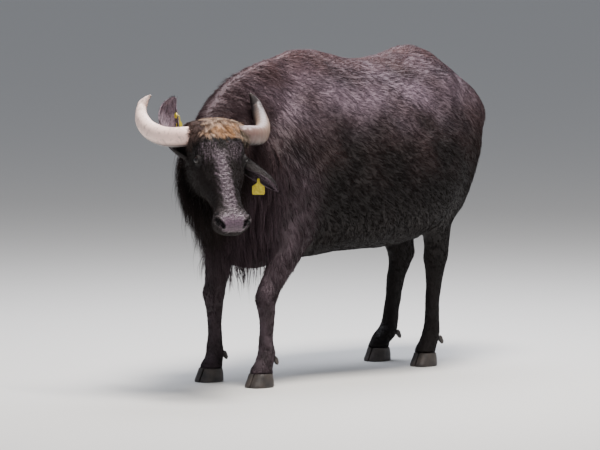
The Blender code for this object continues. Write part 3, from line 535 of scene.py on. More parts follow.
def markings(points):
    """The colour of hide and hair at each place."""
    x, y, z = in_body(points).T
    head = in_head(points)
    face = on_head(points)
    a, b, c = head.T
    colour = mixed(BLACK_BROWN, WARM_BROWN, np.clip(0.30 + 0.25 * ripples(points, 0.16, 11), 0, 1))
    # high: painted sheen over the upper body where the light from above falls, a little less on the very
    # ridge.
    high = grade(z, 0.96, 1.24) * (1 - 0.35 * grade(z, 1.18, 1.32)) * (1 - face)
    colour = mixed(colour, PAINTED_SHEEN, high * np.clip(0.55 + 0.22 * ripples(points, 0.22, 12), 0, 1))
    ridge = grade(z, 1.20, 1.34) * fade(np.abs(y), 0.08, 0.22)
    rump = grade(x, 0.92, 1.06) * grade(z, 0.55, 0.95)
    crest = grade(-x, 0.10, 0.45) * grade(z, 1.10, 1.22)
    rusty = np.clip(np.maximum(np.maximum(ridge, rump * 0.6), crest * 0.3), 0, 1) * (1 - face)
    colour = mixed(colour, RUST, rusty * np.clip(0.60 + 0.2 * ripples(points, 0.10, 13), 0, 1))
    thigh = grade(x, 0.78, 1.00) * fade(z, 1.15, 1.28) * (1 - face)
    colour = mixed(colour, WARM_BROWN, thigh * 0.6)
    neck = grade(-x, 0.20, 0.45) * (1 - face)
    colour = mixed(colour, WARM_BROWN, neck * 0.75)
    # low: painted shade, darkening the belly, lower flank and legs where the light from above does not reach.
    low = fade(z, 0.74, 1.12)
    colour = mixed(colour, BLACK_BROWN * 0.4, low * 0.92 * (1 - face))
    throat = grade(-x, 0.42, 0.52) * fade(z, 0.90, 1.10) * (1 - face)
    colour = mixed(colour, BLACK_BROWN * 0.8, throat * grade(z, 0.48, 0.56) * 0.85)
    # fore: mauve brown hair with painted sheen, stronger on the near, lit left leg than on the shaded right
    # one.
    fore = grade(-x, 0.05, 0.22) * fade(-x, 0.46, 0.56) * (1 - face)
    fore = fore * fade(z, 0.80, 1.08)
    fore = fore * np.clip(0.5 - 4 * y, 0.6, 1)
    colour = mixed(colour, LEG_MAUVE_AND_SHEEN, fore * np.clip(0.65 + 0.2 * ripples(points, 0.06, 28), 0, 1))
    colour = mixed(colour, BLACK_BROWN * 0.6, face * 0.85)
    mat = fade(a + 0.010 * ripples(points, 0.02, 16), 0.075, 0.108) * grade(a, -0.10, -0.06)
    mat = mat * fade(np.abs(b), 0.125, 0.155) * grade(c, -0.10, -0.03) * face
    centre = np.exp(-(((b - 0.030) / 0.045) ** 2)) * grade(a, -0.02, 0.05)
    tan = mixed(POLL_GREY, POLL_TAN, np.clip(centre + 0.35 * ripples(points, 0.022, 14), 0, 1))
    tan = mixed(tan, POLL_DARK, np.clip(0.6 * ripples(points, 0.014, 26) - 0.25, 0, 0.7))
    tan = mixed(tan, POLL_OLIVE, grade(b + 0.012 * ripples(points, 0.03, 18), 0.070, 0.105))
    tan = mixed(tan, POLL_DARK, grade(-b + 0.012 * ripples(points, 0.03, 15), 0.034, 0.066) * 0.9)
    colour = mixed(colour, tan, mat)
    # Painted shadow under the lower edge of the poll's mat.
    mat_shadow = np.exp(-(((a - 0.108) / 0.012) ** 2)) * fade(np.abs(b), 0.10, 0.13)
    colour = mixed(colour, PAINTED_HOLLOW_SHADE, mat_shadow * grade(c, -0.08, -0.03) * 0.8 * face)
    # The bridge's grey bare skin, speckled with painted glints of its wet wrinkles.
    grey_and_glint_speckle = np.clip(0.75 + 0.4 * ripples(points, 0.005, 20), 0, 1)
    colour = mixed(colour, NOSE_GREY_AND_GLINTS, bridge(head) * face * grey_and_glint_speckle)
    # brow: painted glints, grey speckles of light on the wet whorls above the eyes.
    brow = grade(a, 0.100, 0.125) * fade(a, 0.17, 0.21) * grade(c, -0.09, -0.05) * face
    brow = brow * grade(np.abs(b), 0.015, 0.030) * fade(np.abs(b), 0.085, 0.110)
    colour = mixed(colour, NOSE_GREY_AND_GLINTS, brow * np.clip(1.1 * ripples(points, 0.007, 27) - 0.1, 0, 0.9))
    rim = grade(a, 0.400, 0.440) * grade(c, -0.085, -0.060) * face
    colour = mixed(colour, STUBBLE_GREY, rim * np.clip(0.40 + 0.5 * ripples(points, 0.006, 25), 0, 1))
    # lips: dark stubbly hair, and painted shadow under the pad.
    lips = grade(a, 0.38, 0.42) * fade(c, -0.100, -0.086) * face
    colour = mixed(colour, BLACK_BROWN * 0.8, lips * 0.9)
    mauve = mixed(MUZZLE_MAUVE, BLACK_BROWN, np.clip(0.35 * ripples(points, 0.010, 29), 0, 0.5))
    # Painted shade where the pad turns under towards the lips.
    mauve = mixed(mauve, BLACK_BROWN, 0.55 * fade(c + 0.004 * ripples(head, 0.01, 30), -0.092, -0.068))
    colour = mixed(colour, mauve, pad(head) * face)
    for side in (1, -1):
        # Dark skin round each eye, partly painted shade under the brow.
        eye = np.linalg.norm(head - eye_place(side), axis=1)
        colour = mixed(colour, BLACK_BROWN * 0.5, fade(eye, 0.024, 0.050) * face * 0.9)
        # Painted shade inside the nostrils' holes.
        hole = np.min([np.hypot(b - spot[1] * side, c - spot[2]) for spot in NOSTRIL], axis=0)
        colour = mixed(colour, PAINTED_HOLLOW_SHADE, fade(hole, 0.005, 0.0095) * (a > 0.43) * face)
    return colour


def paint(mesh, name, colours, fourth=1.0):
    """Keeps the colours as an attribute of the mesh's points. fourth fills their last channel."""
    rows = np.column_stack([colours, np.broadcast_to(fourth, len(colours))])
    attribute = mesh.color_attributes.new(name, "FLOAT_COLOR", "POINT")
    attribute.data.foreach_set("color", rows.astype(np.float32).ravel())


points = vertex_places(hide.data)
hide_colours = markings(points)
in_ear = np.arange(len(points)) >= body_vertices
normals = vertex_normals(hide.data)
for side_name in SIDES:
    opening = np.array(EAR_OPENINGS[side_name].normalized())
    same_side = in_ear & ((in_head(points)[:, 1] > 0) == (side_name == "left"))
    # out: the inner colour fades towards the root, leaving painted shade in the ear's hollow.
    out = grade(np.linalg.norm(points - np.array(ear_root(side_name)), axis=1), 0.07, 0.13)
    inner = same_side * grade(normals @ opening, 0.0, 0.5)
    hide_colours = mixed(hide_colours, EAR_INNER_LIT_AND_SHADED[side_name], inner * out * 0.8)
head = in_head(points)
wet = np.clip(bridge(head) + pad(head), 0, 1) * on_head(points) * ~in_ear
paint(hide.data, "hide_colour", hide_colours, wet)


def node(tree, kind, links=(), **settings):
    """A shader node of this kind. links are pairs of an input's name and the socket or value it takes."""
    made = tree.nodes.new("ShaderNode" + kind)
    for name, value in settings.items():
        setattr(made, name, value)
    for name, value in links:
        if isinstance(value, bpy.types.NodeSocket):
            tree.links.new(value, made.inputs[name])
        else:
            made.inputs[name].default_value = value
    return made


def spots_of(millimetres):
    """The scale of a noise or cell pattern whose spots are this large."""
    return 1000 / millimetres


def new_material(name, inputs):
    """A material, its node tree, and its Principled shader with these inputs."""
    made = bpy.data.materials.new(name)
    made.use_nodes = True
    shader = made.node_tree.nodes["Principled BSDF"]
    for socket, value in inputs.items():
        shader.inputs[socket].default_value = value
    return made, made.node_tree, shader


def pattern(tree, kind, scale, *links, output="Fac", **settings):
    """The value of a noise, cell or band pattern over the object's own places."""
    place = node(tree, "TexCoord").outputs["Object"]
    return node(tree, kind, [("Vector", place), ("Scale", scale), *links], **settings).outputs[output]


def ranged(tree, value, low, high, at_low, at_high):
    """at_low where the value is low and below, at_high where it is high and above, and even between."""
    links = [("Value", value), ("From Min", low), ("From Max", high), ("To Min", at_low), ("To Max", at_high)]
    return node(tree, "MapRange", links).outputs["Result"]


def ramped(tree, value, *stops):
    """The colour of a ramp at this value. stops are pairs of a place on the ramp and a hex code."""
    ramp = node(tree, "ValToRGB", [("Fac", value)])
    marks = ramp.color_ramp.elements
    marks[0].position = stops[0][0]
    marks[1].position = stops[-1][0]
    for where, _ in stops[1:-1]:
        marks.new(where)
    for mark, (_, code) in zip(marks, stops):
        mark.color = (*linear(code), 1)
    return ramp.outputs["Color"]


def covered(tree, colour, code, share):
    """The colour with a second one, given as a hex code, over this share of it."""
    links = [(0, share), (6, colour), (7, (*linear(code), 1))]
    return node(tree, "Mix", links, data_type="RGBA").outputs[2]


def add_bump(tree, shader, height, strength, distance):
    """Gives the surface a fine relief, distance metres deep, where the height pattern is high."""
    bump = node(tree, "Bump", [("Height", height), ("Strength", strength), ("Distance", distance)])
    tree.links.new(bump.outputs["Normal"], shader.inputs["Normal"])


def shade_markings(tree, shader, grain):
    """The markings, lighter and darker by the grain, as the shader's colour. Returns their sockets."""
    marks = node(tree, "Attribute", attribute_name="hide_colour").outputs
    inputs = [(0, marks["Color"]), (1, ranged(tree, grain, 0, 1, 0.65, 1.35))]
    shaded = node(tree, "VectorMath", inputs, operation="MULTIPLY")
    tree.links.new(shaded.outputs["Vector"], shader.inputs["Base Color"])
    return marks


# Buffalo hide: thick, sparsely haired and slightly oily, so it shines softly, and more where bridge and pad
# are wet. Its pores and short flat hairs are a grain of 4 to 7 mm, coarser than life, so that it shows.
hide_look, tree, shader = new_material("oily buffalo hide", {"Specular IOR Level": 0.35})
grain = pattern(tree, "TexNoise", spots_of(3.85), ("Detail", 3.0))
pores = pattern(tree, "TexVoronoi", spots_of(6.67), output="Distance")
marks = shade_markings(tree, shader, grain)
height = node(tree, "Math", [(0, grain), (1, pores)], operation="ADD").outputs["Value"]
add_bump(tree, shader, height, 0.8, 0.0022)
tree.links.new(ranged(tree, marks["Alpha"], 0, 1, 0.75, 0.30), shader.inputs["Roughness"])
hide.data.materials.append(hide_look)
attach(hide, "root")
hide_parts(*FLESH)

# The coat: coarse flat tufts of bent guard hair over short straight under hair, rooted in the hide and lying
# back and down along the body. It is longest on neck and back and shortest on face and feet. Each tuft is a
# thin closed blade of three sides.
BENT_TUFTS = 48000
STRAIGHT_TUFTS = 150000
TRIANGLES_A_PIECE = 195000
TUFT_PATCH = 0.003


def roots_on(mesh, count, density, draw):
    """Evenly drawn places on the mesh: points, normals, places on its unwrap, and which are on an ear."""
    mesh.calc_loop_triangles()
    corners = rows_of(mesh.loop_triangles, "vertices", 3, np.int32)
    loops = rows_of(mesh.loop_triangles, "loops", 3, np.int32)
    places = vertex_places(mesh)
    sides = places[corners]
    middle = sides.mean(axis=1)
    area = np.linalg.norm(np.cross(sides[:, 1] - sides[:, 0], sides[:, 2] - sides[:, 0]), axis=1) / 2
    share = np.cumsum(area * density(middle, corners))
    wanted = (np.arange(count) + draw.uniform(0, 1, count)) / count * share[-1]
    chosen = np.minimum(np.searchsorted(share, wanted), len(corners) - 1)
    first = np.sqrt(draw.uniform(0, 1, count))
    second = draw.uniform(0, 1, count)
    weights = np.column_stack([1 - first, first * (1 - second), first * second])
    uv = rows_of(mesh.uv_layers[BAKE_MAP].uv, "vector", 2)
    roots = (places[corners[chosen]] * weights[:, :, None]).sum(axis=1)
    ups = unit((vertex_normals(mesh)[corners[chosen]] * weights[:, :, None]).sum(axis=1))
    patches = (uv[loops[chosen]] * weights[:, :, None]).sum(axis=1)
    return roots, ups, patches, corners[chosen, 0] >= body_vertices


def wander(points, wavelength, seed):
    """A smooth random direction of about unit length at each place."""
    return np.column_stack([ripples(points, wavelength, seed + k) for k in range(3)])


def lie(points, normals, ears):
    """The way the hair lies at each place, along the surface."""
    x, y, z = in_body(points).T
    _, b, c = in_head(points).T
    flow = np.tile((0.80, 0.0, -0.50), (len(points), 1))
    spine = grade(z, 1.18, 1.32)
    flow = mixed(flow, (1.0, 0.0, -0.12), spine)
    flow[:, 1] += 0.25 * np.sign(y) * spine
    flow = mixed(flow, (0.45, 0.0, -0.90), grade(x, 0.72, 0.95))
    flow = mixed(flow, (0.45, 0.05, -0.90), grade(-x, 0.02, 0.25))
    flow = mixed(flow, (0.12, 0.0, -1.0), fade(z, 0.55, 0.75))
    under = fade(z, 0.52, 0.62) * grade(-normals[:, 2], 0.4, 0.8) * grade(z, 0.42, 0.5)
    flow = mixed(flow, (1.0, 0.0, -0.3), under)
    facing = np.zeros_like(flow)
    facing[:, 0] = 0.9
    facing[:, 1] = np.clip(b * 6, -0.7, 0.7)
    facing[:, 2] = -0.25
    cheeks = fade(c, -0.16, -0.08)
    facing = mixed(facing, (0.05, 0.0, -1.0), cheeks)
    jaws = fade(c, -0.24, -0.18)
    facing = mixed(facing, (-0.2, 0.0, -1.0), jaws)
    flow = mixed(flow, from_head(facing), on_head(points))
    for name in SIDES:
        tip = np.array(EAR_PATHS[name][-1]) - np.array(EAR_PATHS[name][1])
        chosen = ears & ((b > 0) == (name == "left"))
        flow[chosen] = unit(tip)
    flow = unit(flow) + 0.13 * wander(points, 0.055, 31)
    flow = flow - normals * (flow * normals).sum(axis=1)[:, None]
    return unit(flow)


def coat_sizes(points, ears):
    """Length, width and lift of the tufts in metres at each place, and how bare the hide is there."""
    x, _, z = in_body(points).T
    head = in_head(points)
    a, _, c = head.T
    face = on_head(points)
    length = 0.036 + 0.012 * grade(-x, 0.0, 0.30) + 0.006 * grade(z, 1.15, 1.30)
    length = length - 0.014 * fade(z, 0.50, 0.75)
    length = length * (1 - 0.45 * fade(z, 0.30, 0.50))
    on_face = 0.012 + 0.014 * grade(-c, 0.13, 0.22) + 0.010 * fade(a, 0.05, 0.12)
    on_face -= 0.005 * grade(a, 0.40, 0.44)
    length = length * (1 - face) + on_face * face
    length = np.where(ears, 0.013, length)
    width = 0.0010 + length * 0.045
    lift = length * (0.085 + 0.09 * face)
    bare = grade(pad(head), 0.2, 0.6) * face
    for side in (1, -1):
        bare = np.maximum(bare, fade(np.linalg.norm(head - eye_place(side), axis=1), 0.021, 0.026))
    soles = fade(z, 0.052, 0.062)
    return length, width, lift, np.maximum(bare, soles)


def coat_density(middle, corners):
    """How many tufts a square metre takes, so that they cover it alike."""
    ears = corners[:, 0] >= body_vertices
    length, width, _, bare = coat_sizes(middle, ears)
    inner = np.where(ears, 0.35, 1.0)
    return (1 - bare) * inner / (length * width)


def blades(name, paths, ups, widths, flatness, uvs, colours, sides=3):
    """One object of closed tapering blades. paths runs (blade, point, xyz), its last point the tip.

    ups are the ways out of the hide, widths runs (blade, ring), and colours runs (blade, ring and tip, rgb).
    """
    count, steps = paths.shape[:2]
    rings = steps - 1
    corners = np.empty((count, rings * sides + 1, 3))
    for i in range(rings):
        along = unit(paths[:, i + 1] - paths[:, max(i - 1, 0)])
        up = unit(ups - along * (ups * along).sum(axis=1)[:, None])
        across = np.cross(up, along)
        for k in range(sides):
            turn = math.pi / 2 + 2 * math.pi * k / sides
            half = widths[:, i, None] / 2
            out = across * math.cos(turn) + up * math.sin(turn) * flatness
            corners[:, i * sides + k] = paths[:, i] + out * half
    corners[:, -1] = paths[:, -1]
    tip = rings * sides
    pattern = [(0, k + 1, k) for k in range(1, sides - 1)]
    for i in range(rings - 1):
        for k in range(sides):
            nxt = (k + 1) % sides
            low = i * sides
            pattern.append((low + k, low + nxt, low + sides + nxt))
            pattern.append((low + k, low + sides + nxt, low + sides + k))
    top = (rings - 1) * sides
    pattern += [(top + k, top + (k + 1) % sides, tip) for k in range(sides)]
    pattern = np.array(pattern)
    size = rings * sides + 1
    triangles = (pattern[None] + (np.arange(count) * size)[:, None, None]).reshape(-1, 3)
    mesh = bpy.data.meshes.new(name)
    mesh.vertices.add(count * size)
    mesh.vertices.foreach_set("co", corners.astype(np.float32).ravel())
    mesh.loops.add(triangles.size)
    mesh.loops.foreach_set("vertex_index", triangles.astype(np.int32).ravel())
    mesh.polygons.add(len(triangles))
    mesh.polygons.foreach_set("loop_start", np.arange(0, triangles.size, 3, dtype=np.int32))
    mesh.polygons.foreach_set("use_smooth", np.ones(len(triangles), bool))
    mesh.update(calc_edges=True)
    spread = np.empty((size, 2))
    for i in range(rings):
        for k in range(sides):
            spread[i * sides + k] = (k / (sides - 1) - 0.5, i / rings - 0.5)
    spread[-1] = (0, 0.5)
    patch = uvs[:, None] + spread[None] * TUFT_PATCH
    layer = mesh.uv_layers.new(name=BAKE_MAP)
    layer.uv.foreach_set("vector", patch.reshape(-1, 2)[triangles.ravel()].astype(np.float32).ravel())
    ring_of = np.append(np.repeat(np.arange(rings), sides), rings)
    paint(mesh, "hide_colour", colours[:, ring_of].reshape(-1, 3))
    return placed(name, mesh)


# Buffalo guard hair: coarse and round, with little gloss in bulk, dark at the root and a little bleached at
# the tip. The shade of each tuft comes from its own attribute, and a grain of 2 mm breaks it up.
hair_inputs = {"Roughness": 0.6, "Specular IOR Level": 0.06}
hair_look, tree, shader = new_material("coarse buffalo guard hair", hair_inputs)
strand = pattern(tree, "TexNoise", spots_of(2.08), ("Detail", 2.0))
shade_markings(tree, shader, strand)
add_bump(tree, shader, strand, 0.3, 0.0006)


def finish_hair(obj):
    obj.data.materials.append(hair_look)
    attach(obj, "root")


def gathered(paths, reach, share):
    """The tips of hairs rooted within about reach of each other drawn together by share, as when wet."""
    cells = np.floor(paths[:, 0] / reach + 0.35 * wander(paths[:, 0], reach * 4, 34)).astype(int)
    bunch = np.unique(cells, axis=0, return_inverse=True)[1].ravel()
    total = np.zeros((bunch.max() + 1, *paths.shape[1:]))
    np.add.at(total, bunch, paths)
    mean = total / np.bincount(bunch)[:, None, None]
    pull = share * np.linspace(0, 1, paths.shape[1]) ** 1.3
    return paths + (mean[bunch] - paths) * pull[None, :, None]


def coat_paths(points, normals, flow, length, lift, draw):
    """Root, middle and tip of each tuft, with neighbours in a clump leaning together."""
    count = len(points)
    across = np.cross(normals, flow)
    length = length * draw.uniform(0.75, 1.2, count)
    clump = ripples(points - flow * ((points * flow).sum(axis=1) * 0.8)[:, None], 0.022, 41)
    rise = lift * (1 + 0.12 * clump + draw.uniform(-0.3, 0.3, count))
    sway = length * (0.16 * ripples(points, 0.03, 42) + draw.normal(0, 0.06, count))
    root = points - normals * 0.0012
    middle = points + flow * (length * 0.5)[:, None] + normals * (rise * 0.75)[:, None]
    middle = middle + across * (sway * 0.4)[:, None]
    tip = points + flow * length[:, None] + normals * (rise * 0.55)[:, None] + across * sway[:, None]
    return gathered(np.stack([root, middle, tip], axis=1), 0.010, 0.18), clump


def short_coat(name, count, seed, bent):
    """Tufts all over the hide, in pieces from head to tail."""
    draw = np.random.default_rng(seed)
    points, normals, uvs, ears = roots_on(hide.data, count, coat_density, draw)
    length, width, lift, _ = coat_sizes(points, ears)
    flow = lie(points, normals, ears)
    paths, clump = coat_paths(points, normals, flow, length, lift, draw)
    # On the face the tones spread wider: painted glints among the short wet hairs, besides each tuft's own
    # random tone.
    tone = np.clip(1 + 0.09 * clump + draw.normal(0, 1, count) * (0.16 + 0.30 * on_head(points)), 0.40, 2.4)
    shades = np.array((0.75, 1.0, 1.25))
    widths = np.column_stack([width, width * 0.85])
    triangles = 10
    if not bent:
        paths = paths[:, ::2]
        shades = shades[::2]
        widths = widths[:, :1]
        triangles = 4
    tints = markings(points)[:, None] * tone[:, None, None] * shades[None, :, None]
    pieces = math.ceil(count * triangles / TRIANGLES_A_PIECE)
    for number, chosen in enumerate(np.array_split(np.argsort(points[:, 0]), pieces)):
        made = (paths[chosen], normals[chosen], widths[chosen], 0.45, uvs[chosen], tints[chosen])
        finish_hair(blades(f"{name}_{number + 1}", *made))


short_coat("guard_hair", BENT_TUFTS, 5, True)
short_coat("under_hair", STRAIGHT_TUFTS, 6, False)


# The long hair: the tan mat over the poll, the fringe and wisps of throat and brisket, tufts along the crest,
# the switch of the tail and the hair of the ears. Each lock is a bent blade of three sides.
def long_hair(name, count, weight, way, seed, length, width, lift, sag, curl, shade=1.0, steps=4, bunch=0.02):
    """Locks rooted where weight says, lying along way and sagging to the ground, in one object."""
    draw = np.random.default_rng(seed)
    points, normals, uvs, ears = roots_on(hide.data, count, weight, draw)
    flow = way(points, normals, ears)
    flow = unit(flow - normals * (flow * normals).sum(axis=1)[:, None] * 0.8)
    across = np.cross(normals, flow)
    sizes = length * draw.uniform(0.65, 1.25, count)
    rises = lift * draw.uniform(0.5, 1.5, count)
    paths = [points - normals * 0.002]
    for k in range(1, steps + 1):
        t = k / steps
        bend = curl * np.sin(t * 5 + ripples(points, 0.03, seed + 1) * 3)
        place = points + flow * (sizes * t)[:, None] + normals * (rises * sizes * math.sin(t * 2.1))[:, None]
        place = place + across * (sizes * bend)[:, None]
        place[:, 2] -= sag * sizes * t * t
        paths.append(place)
    paths = gathered(np.stack(paths, axis=1), bunch, 0.7)
    profile = 1 - 0.6 * np.linspace(0, 1, steps) ** 1.5
    widths = width * draw.uniform(0.7, 1.3, count)[:, None] * profile[None]
    tone = np.clip(shade + 0.2 * ripples(points, 0.02, seed + 2) + draw.normal(0, 0.15, count), 0.4, 1.9)
    tints = markings(points)[:, None] * tone[:, None, None] * np.linspace(0.8, 1.2, steps + 1)[None, :, None]
    finish_hair(blades(name, paths, normals, widths, 0.4, uvs, tints))


def poll_weight(middle, corners):
    head = in_head(middle)
    mat = fade(head[:, 0], 0.045, 0.075) * grade(head[:, 0], -0.10, -0.06)
    mat = mat * fade(np.abs(head[:, 1]), 0.115, 0.145)
    return mat * grade(head[:, 2], -0.11, -0.04) * on_head(middle) * (corners[:, 0] < body_vertices)


def poll_way(points, normals, ears):
    """Down over the brow, parted and matted every way."""
    head = in_head(points)
    way = np.column_stack([np.full(len(points), 0.8), head[:, 1] * 5, np.full(len(points), 0.1)])
    return unit(from_head(way) + 0.55 * wander(points, 0.035, 51))


forelock = {"length": 0.042, "width": 0.0021, "lift": 0.12, "sag": 0.1, "curl": 0.08}
long_hair("forelock", 7000, poll_weight, poll_way, 50, **forelock)


def throat_weight(middle, corners):
    """The underside of jaw, throat and neck, and the brisket."""
    x, _, z = in_body(middle).T
    a, _, c = in_head(middle).T
    face = on_head(middle)
    jaw = fade(c, -0.25, -0.20) * fade(a, 0.28, 0.36) * face
    neck = grade(-x, 0.26, 0.38) * fade(z, 0.94, 1.10) * grade(z, 0.50, 0.56) * (1 - face)
    return (neck + jaw) * (corners[:, 0] < body_vertices)


def hanging_way(points, normals, ears):
    return unit(np.array((0.10, 0.0, -1.0)) + 0.25 * wander(points, 0.08, 61) + 0.35 * normals)


fringe = {"length": 0.088, "width": 0.0026, "lift": 0.28, "sag": 0.55, "curl": 0.05, "bunch": 0.035}
long_hair("throat_fringe", 6000, throat_weight, hanging_way, 60, **fringe)
wisps = {"length": 0.092, "width": 0.0040, "lift": 0.34, "sag": 0.80, "curl": 0.06, "bunch": 0.030}
long_hair("throat_wisps", 500, throat_weight, hanging_way, 65, **wisps)


def crest_weight(middle, corners):
    """The neck's crest and the withers."""
    x, y, z = in_body(middle).T
    crest = grade(-x, -0.15, 0.10) * grade(z, 1.02, 1.16) * (1 - on_head(middle))
    return crest * fade(np.abs(y + 0.1 * grade(-x, 0.4, 0.7)), 0.08, 0.20)


def crest_way(points, normals, ears):
    count = len(points)
    way = np.column_stack([np.full(count, 0.8), np.sign(in_body(points)[:, 1]) * 0.5, np.full(count, -0.35)])
    return unit(way + 0.3 * wander(points, 0.06, 71))


crest = {"length": 0.050, "width": 0.0025, "lift": 0.16, "sag": 0.15, "curl": 0.06, "steps": 3}
long_hair("crest_hair", 3600, crest_weight, crest_way, 70, **crest)


def switch_weight(middle, corners):
    x, y, z = in_body(middle).T
    return (x > 1.0) & (np.abs(y - 0.085) < 0.06) & (z < 0.56) & (z > 0.29)


def switch_way(points, normals, ears):
    return unit(np.array((0.0, 0.05, -1.0)) + 0.1 * wander(points, 0.05, 81))


switch = {"length": 0.095, "width": 0.0030, "lift": 0.08, "sag": 0.1, "curl": 0.04, "shade": 0.8}
long_hair("tail_switch", 1500, switch_weight, switch_way, 80, **switch)


def ear_weight(middle, corners):
    return corners[:, 0] >= body_vertices


def ear_way(points, normals, ears):
    return unit(lie(points, normals, ears) + 0.35 * normals)


ear_hair = {"length": 0.014, "width": 0.0013, "lift": 0.25, "sag": 0.05, "curl": 0.08, "steps": 3}
long_hair("ear_hair", 1500, ear_weight, ear_way, 90, **ear_hair)

# The horns: hollow sheaths of keratin over a bony core, ridged across near the head and smooth at the tip.
# They are drawn with finer rings from the solids' own sections, each a place in the head and two half widths.
HORN_PATH = (
    (0.030, 0.070, -0.050, 0.039, 0.032),
    (0.038, 0.140, -0.054, 0.041, 0.033),
    (0.005, 0.200, -0.094, 0.041, 0.033),
    (-0.078, 0.240, -0.156, 0.039, 0.031),
    (-0.166, 0.252, -0.195, 0.034, 0.027),
    (-0.222, 0.245, -0.191, 0.026, 0.020),
    (-0.242, 0.230, -0.168, 0.015, 0.012),
    (-0.246, 0.212, -0.138, 0.004, 0.003),
)
HORN_STEPS = 18
HORN_RIDGES = {"left": 0.045, "right": 0.018}
HORN_SIDES = 36
HORN_SQUARENESS = 2 / 2.3
HORN_INSET = 0.99
# Each horn's colour at its root, middle and dark or pale end, where that end begins, and at the very tip.
# The right horn's pale keratin is pushed almost to white, partly painted light for the sun on it.
HORN_COLOURS = {
    "right": ("ffd6ca", "ffded2", "ffe4d8", 0.95, "a08c80"),
    "left": ("6c524e", "816c5e", "4a4443", 0.66, "262224"),
}


def squared(value):
    """A circle's sine or cosine, drawn out towards that of a rounded square."""
    return math.copysign(abs(value) ** HORN_SQUARENESS, value)


def horn_sheath(name):
    """One horn with growth ridges that fade towards the tip, and the share of its length as an attribute."""
    side = SIDES[name]
    rows = eased([(a, -b * side, c, wide, deep) for a, b, c, wide, deep in HORN_PATH], HORN_STEPS)
    centres = [HEAD @ Vector(r[:3]) for r in rows]
    side_way = HEAD.to_3x3() @ Vector((0.5, 0, -0.87))
    rings = []
    marks = []
    for i, row in enumerate(rows):
        t = i / (len(rows) - 1)
        along = (centres[min(i + 1, len(rows) - 1)] - centres[max(i - 1, 0)]).normalized()
        across = (side_way - along * side_way.dot(along)).normalized()
        front = across.cross(along)
        fading = (1 - t) ** 0.8 * (t < 0.75)
        ridge = HORN_RIDGES[name] * math.sin(i * 2 * math.pi / 5.5 + math.sin(i * 0.9)) * fading
        points = []
        for k in range(HORN_SIDES):
            turn = 2 * math.pi * k / HORN_SIDES
            swell = 1 + ridge * (0.7 + 0.3 * math.sin(turn)) + 0.008 * math.sin(3 * turn + i * 0.15)
            x = squared(math.cos(turn)) * row[3] * swell * HORN_INSET
            y = squared(math.sin(turn)) * row[4] * swell * HORN_INSET
            points.append(centres[i] + across * x + front * y)
        rings.append(points)
        marks += [t] * HORN_SIDES
    obj = from_bmesh(f"horn_sheath_{name}", skinned(rings))
    attribute = obj.data.attributes.new("along_horn", "FLOAT", "POINT")
    attribute.data.foreach_set("value", np.array(marks + [0.0, 1.0], np.float32))
    smooth(obj.data)
    return obj


# Horn keratin: dense, a little waxy and dulled by wear, with dried mud in spots of about 17 mm and smaller.
# Each horn's own colours run along it, and painted shade darkens the faces that turn downwards.
for side_name in SIDES:
    base_code, middle_code, tip_code, tip_from, tip_end = HORN_COLOURS[side_name]
    sheath = horn_sheath(side_name)
    look, tree, shader = new_material(f"worn {side_name} horn keratin", {"Roughness": 0.45, "IOR": 1.54})
    along = node(tree, "Attribute", attribute_name="along_horn").outputs["Fac"]
    stops = ((0.10, base_code), (0.35, middle_code), (tip_from, tip_code), (1.0, tip_end))
    streaks = pattern(tree, "TexNoise", spots_of(16.67), ("Detail", 6.0))
    muddy = covered(tree, ramped(tree, along, *stops), "6a5a52", ranged(tree, streaks, 0.52, 0.70, 0, 0.45))
    # Painted shade: the keratin darker where its surface faces down.
    facing = node(tree, "NewGeometry").outputs["Normal"]
    level = node(tree, "SeparateXYZ", [("Vector", facing)]).outputs["Z"]
    painted_underside_shade = covered(tree, muddy, "2e2726", ranged(tree, level, -0.75, -0.35, 0.95, 0))
    tree.links.new(painted_underside_shade, shader.inputs["Base Color"])
    add_bump(tree, shader, streaks, 0.25, 0.0015)
    sheath.data.materials.append(look)
    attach(sheath, "root")
    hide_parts(f"horn_{side_name}")

# The eyes: dark brown globes with a long level pupil and a wet clear front, set in the lids. Each is a ball
# of its own, painted with iris and pupil by the way it looks.
EYE_GAP = 0.0002
EYE_GLOSS = {"Roughness": 0.22, "Coat Weight": 0.3, "Coat Roughness": 0.08, "IOR": 1.376}
for side_name, side in SIDES.items():
    low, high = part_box(f"eye_{side_name}")
    middle = (low + high) / 2
    outward, length_way = (Vector(from_head(way[None])[0]) for way in eye_axes(-side)[1:3])
    rise_way = outward.cross(length_way)
    bm = bmesh.new()
    bmesh.ops.create_uvsphere(bm, u_segments=48, v_segments=32, radius=EYE_RADIUS - EYE_GAP)
    turn = Matrix((length_way, rise_way, outward)).transposed().to_4x4()
    bmesh.ops.transform(bm, matrix=Matrix.Translation(middle) @ turn, verts=bm.verts)
    bmesh.ops.triangulate(bm, faces=bm.faces)
    eyeball = from_bmesh(f"eyeball_{side_name}", bm)
    smooth(eyeball.data)
    spots = (vertex_places(eyeball.data) - np.array(middle)) / EYE_RADIUS
    x = spots @ np.array(length_way)
    y = spots @ np.array(rise_way)
    front = spots @ np.array(outward) > 0
    iris = grade(-np.hypot(x, y), -0.74, -0.66) * front
    pupil = grade(-np.hypot(x / 0.40, y / 0.20), -1.1, -0.9) * front
    colour = mixed(np.tile(linear("181110"), (len(x), 1)), linear("120a08"), iris)
    colour = mixed(colour, linear("060505"), pupil)
    paint(eyeball.data, "eye_colour", colour)
    look, tree, shader = new_material(f"wet brown eye {side_name}", EYE_GLOSS)
    tint = node(tree, "Attribute", attribute_name="eye_colour").outputs["Color"]
    tree.links.new(tint, shader.inputs["Base Color"])
    eyeball.data.materials.append(look)
    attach(eyeball, "root")
    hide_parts(f"eye_{side_name}")

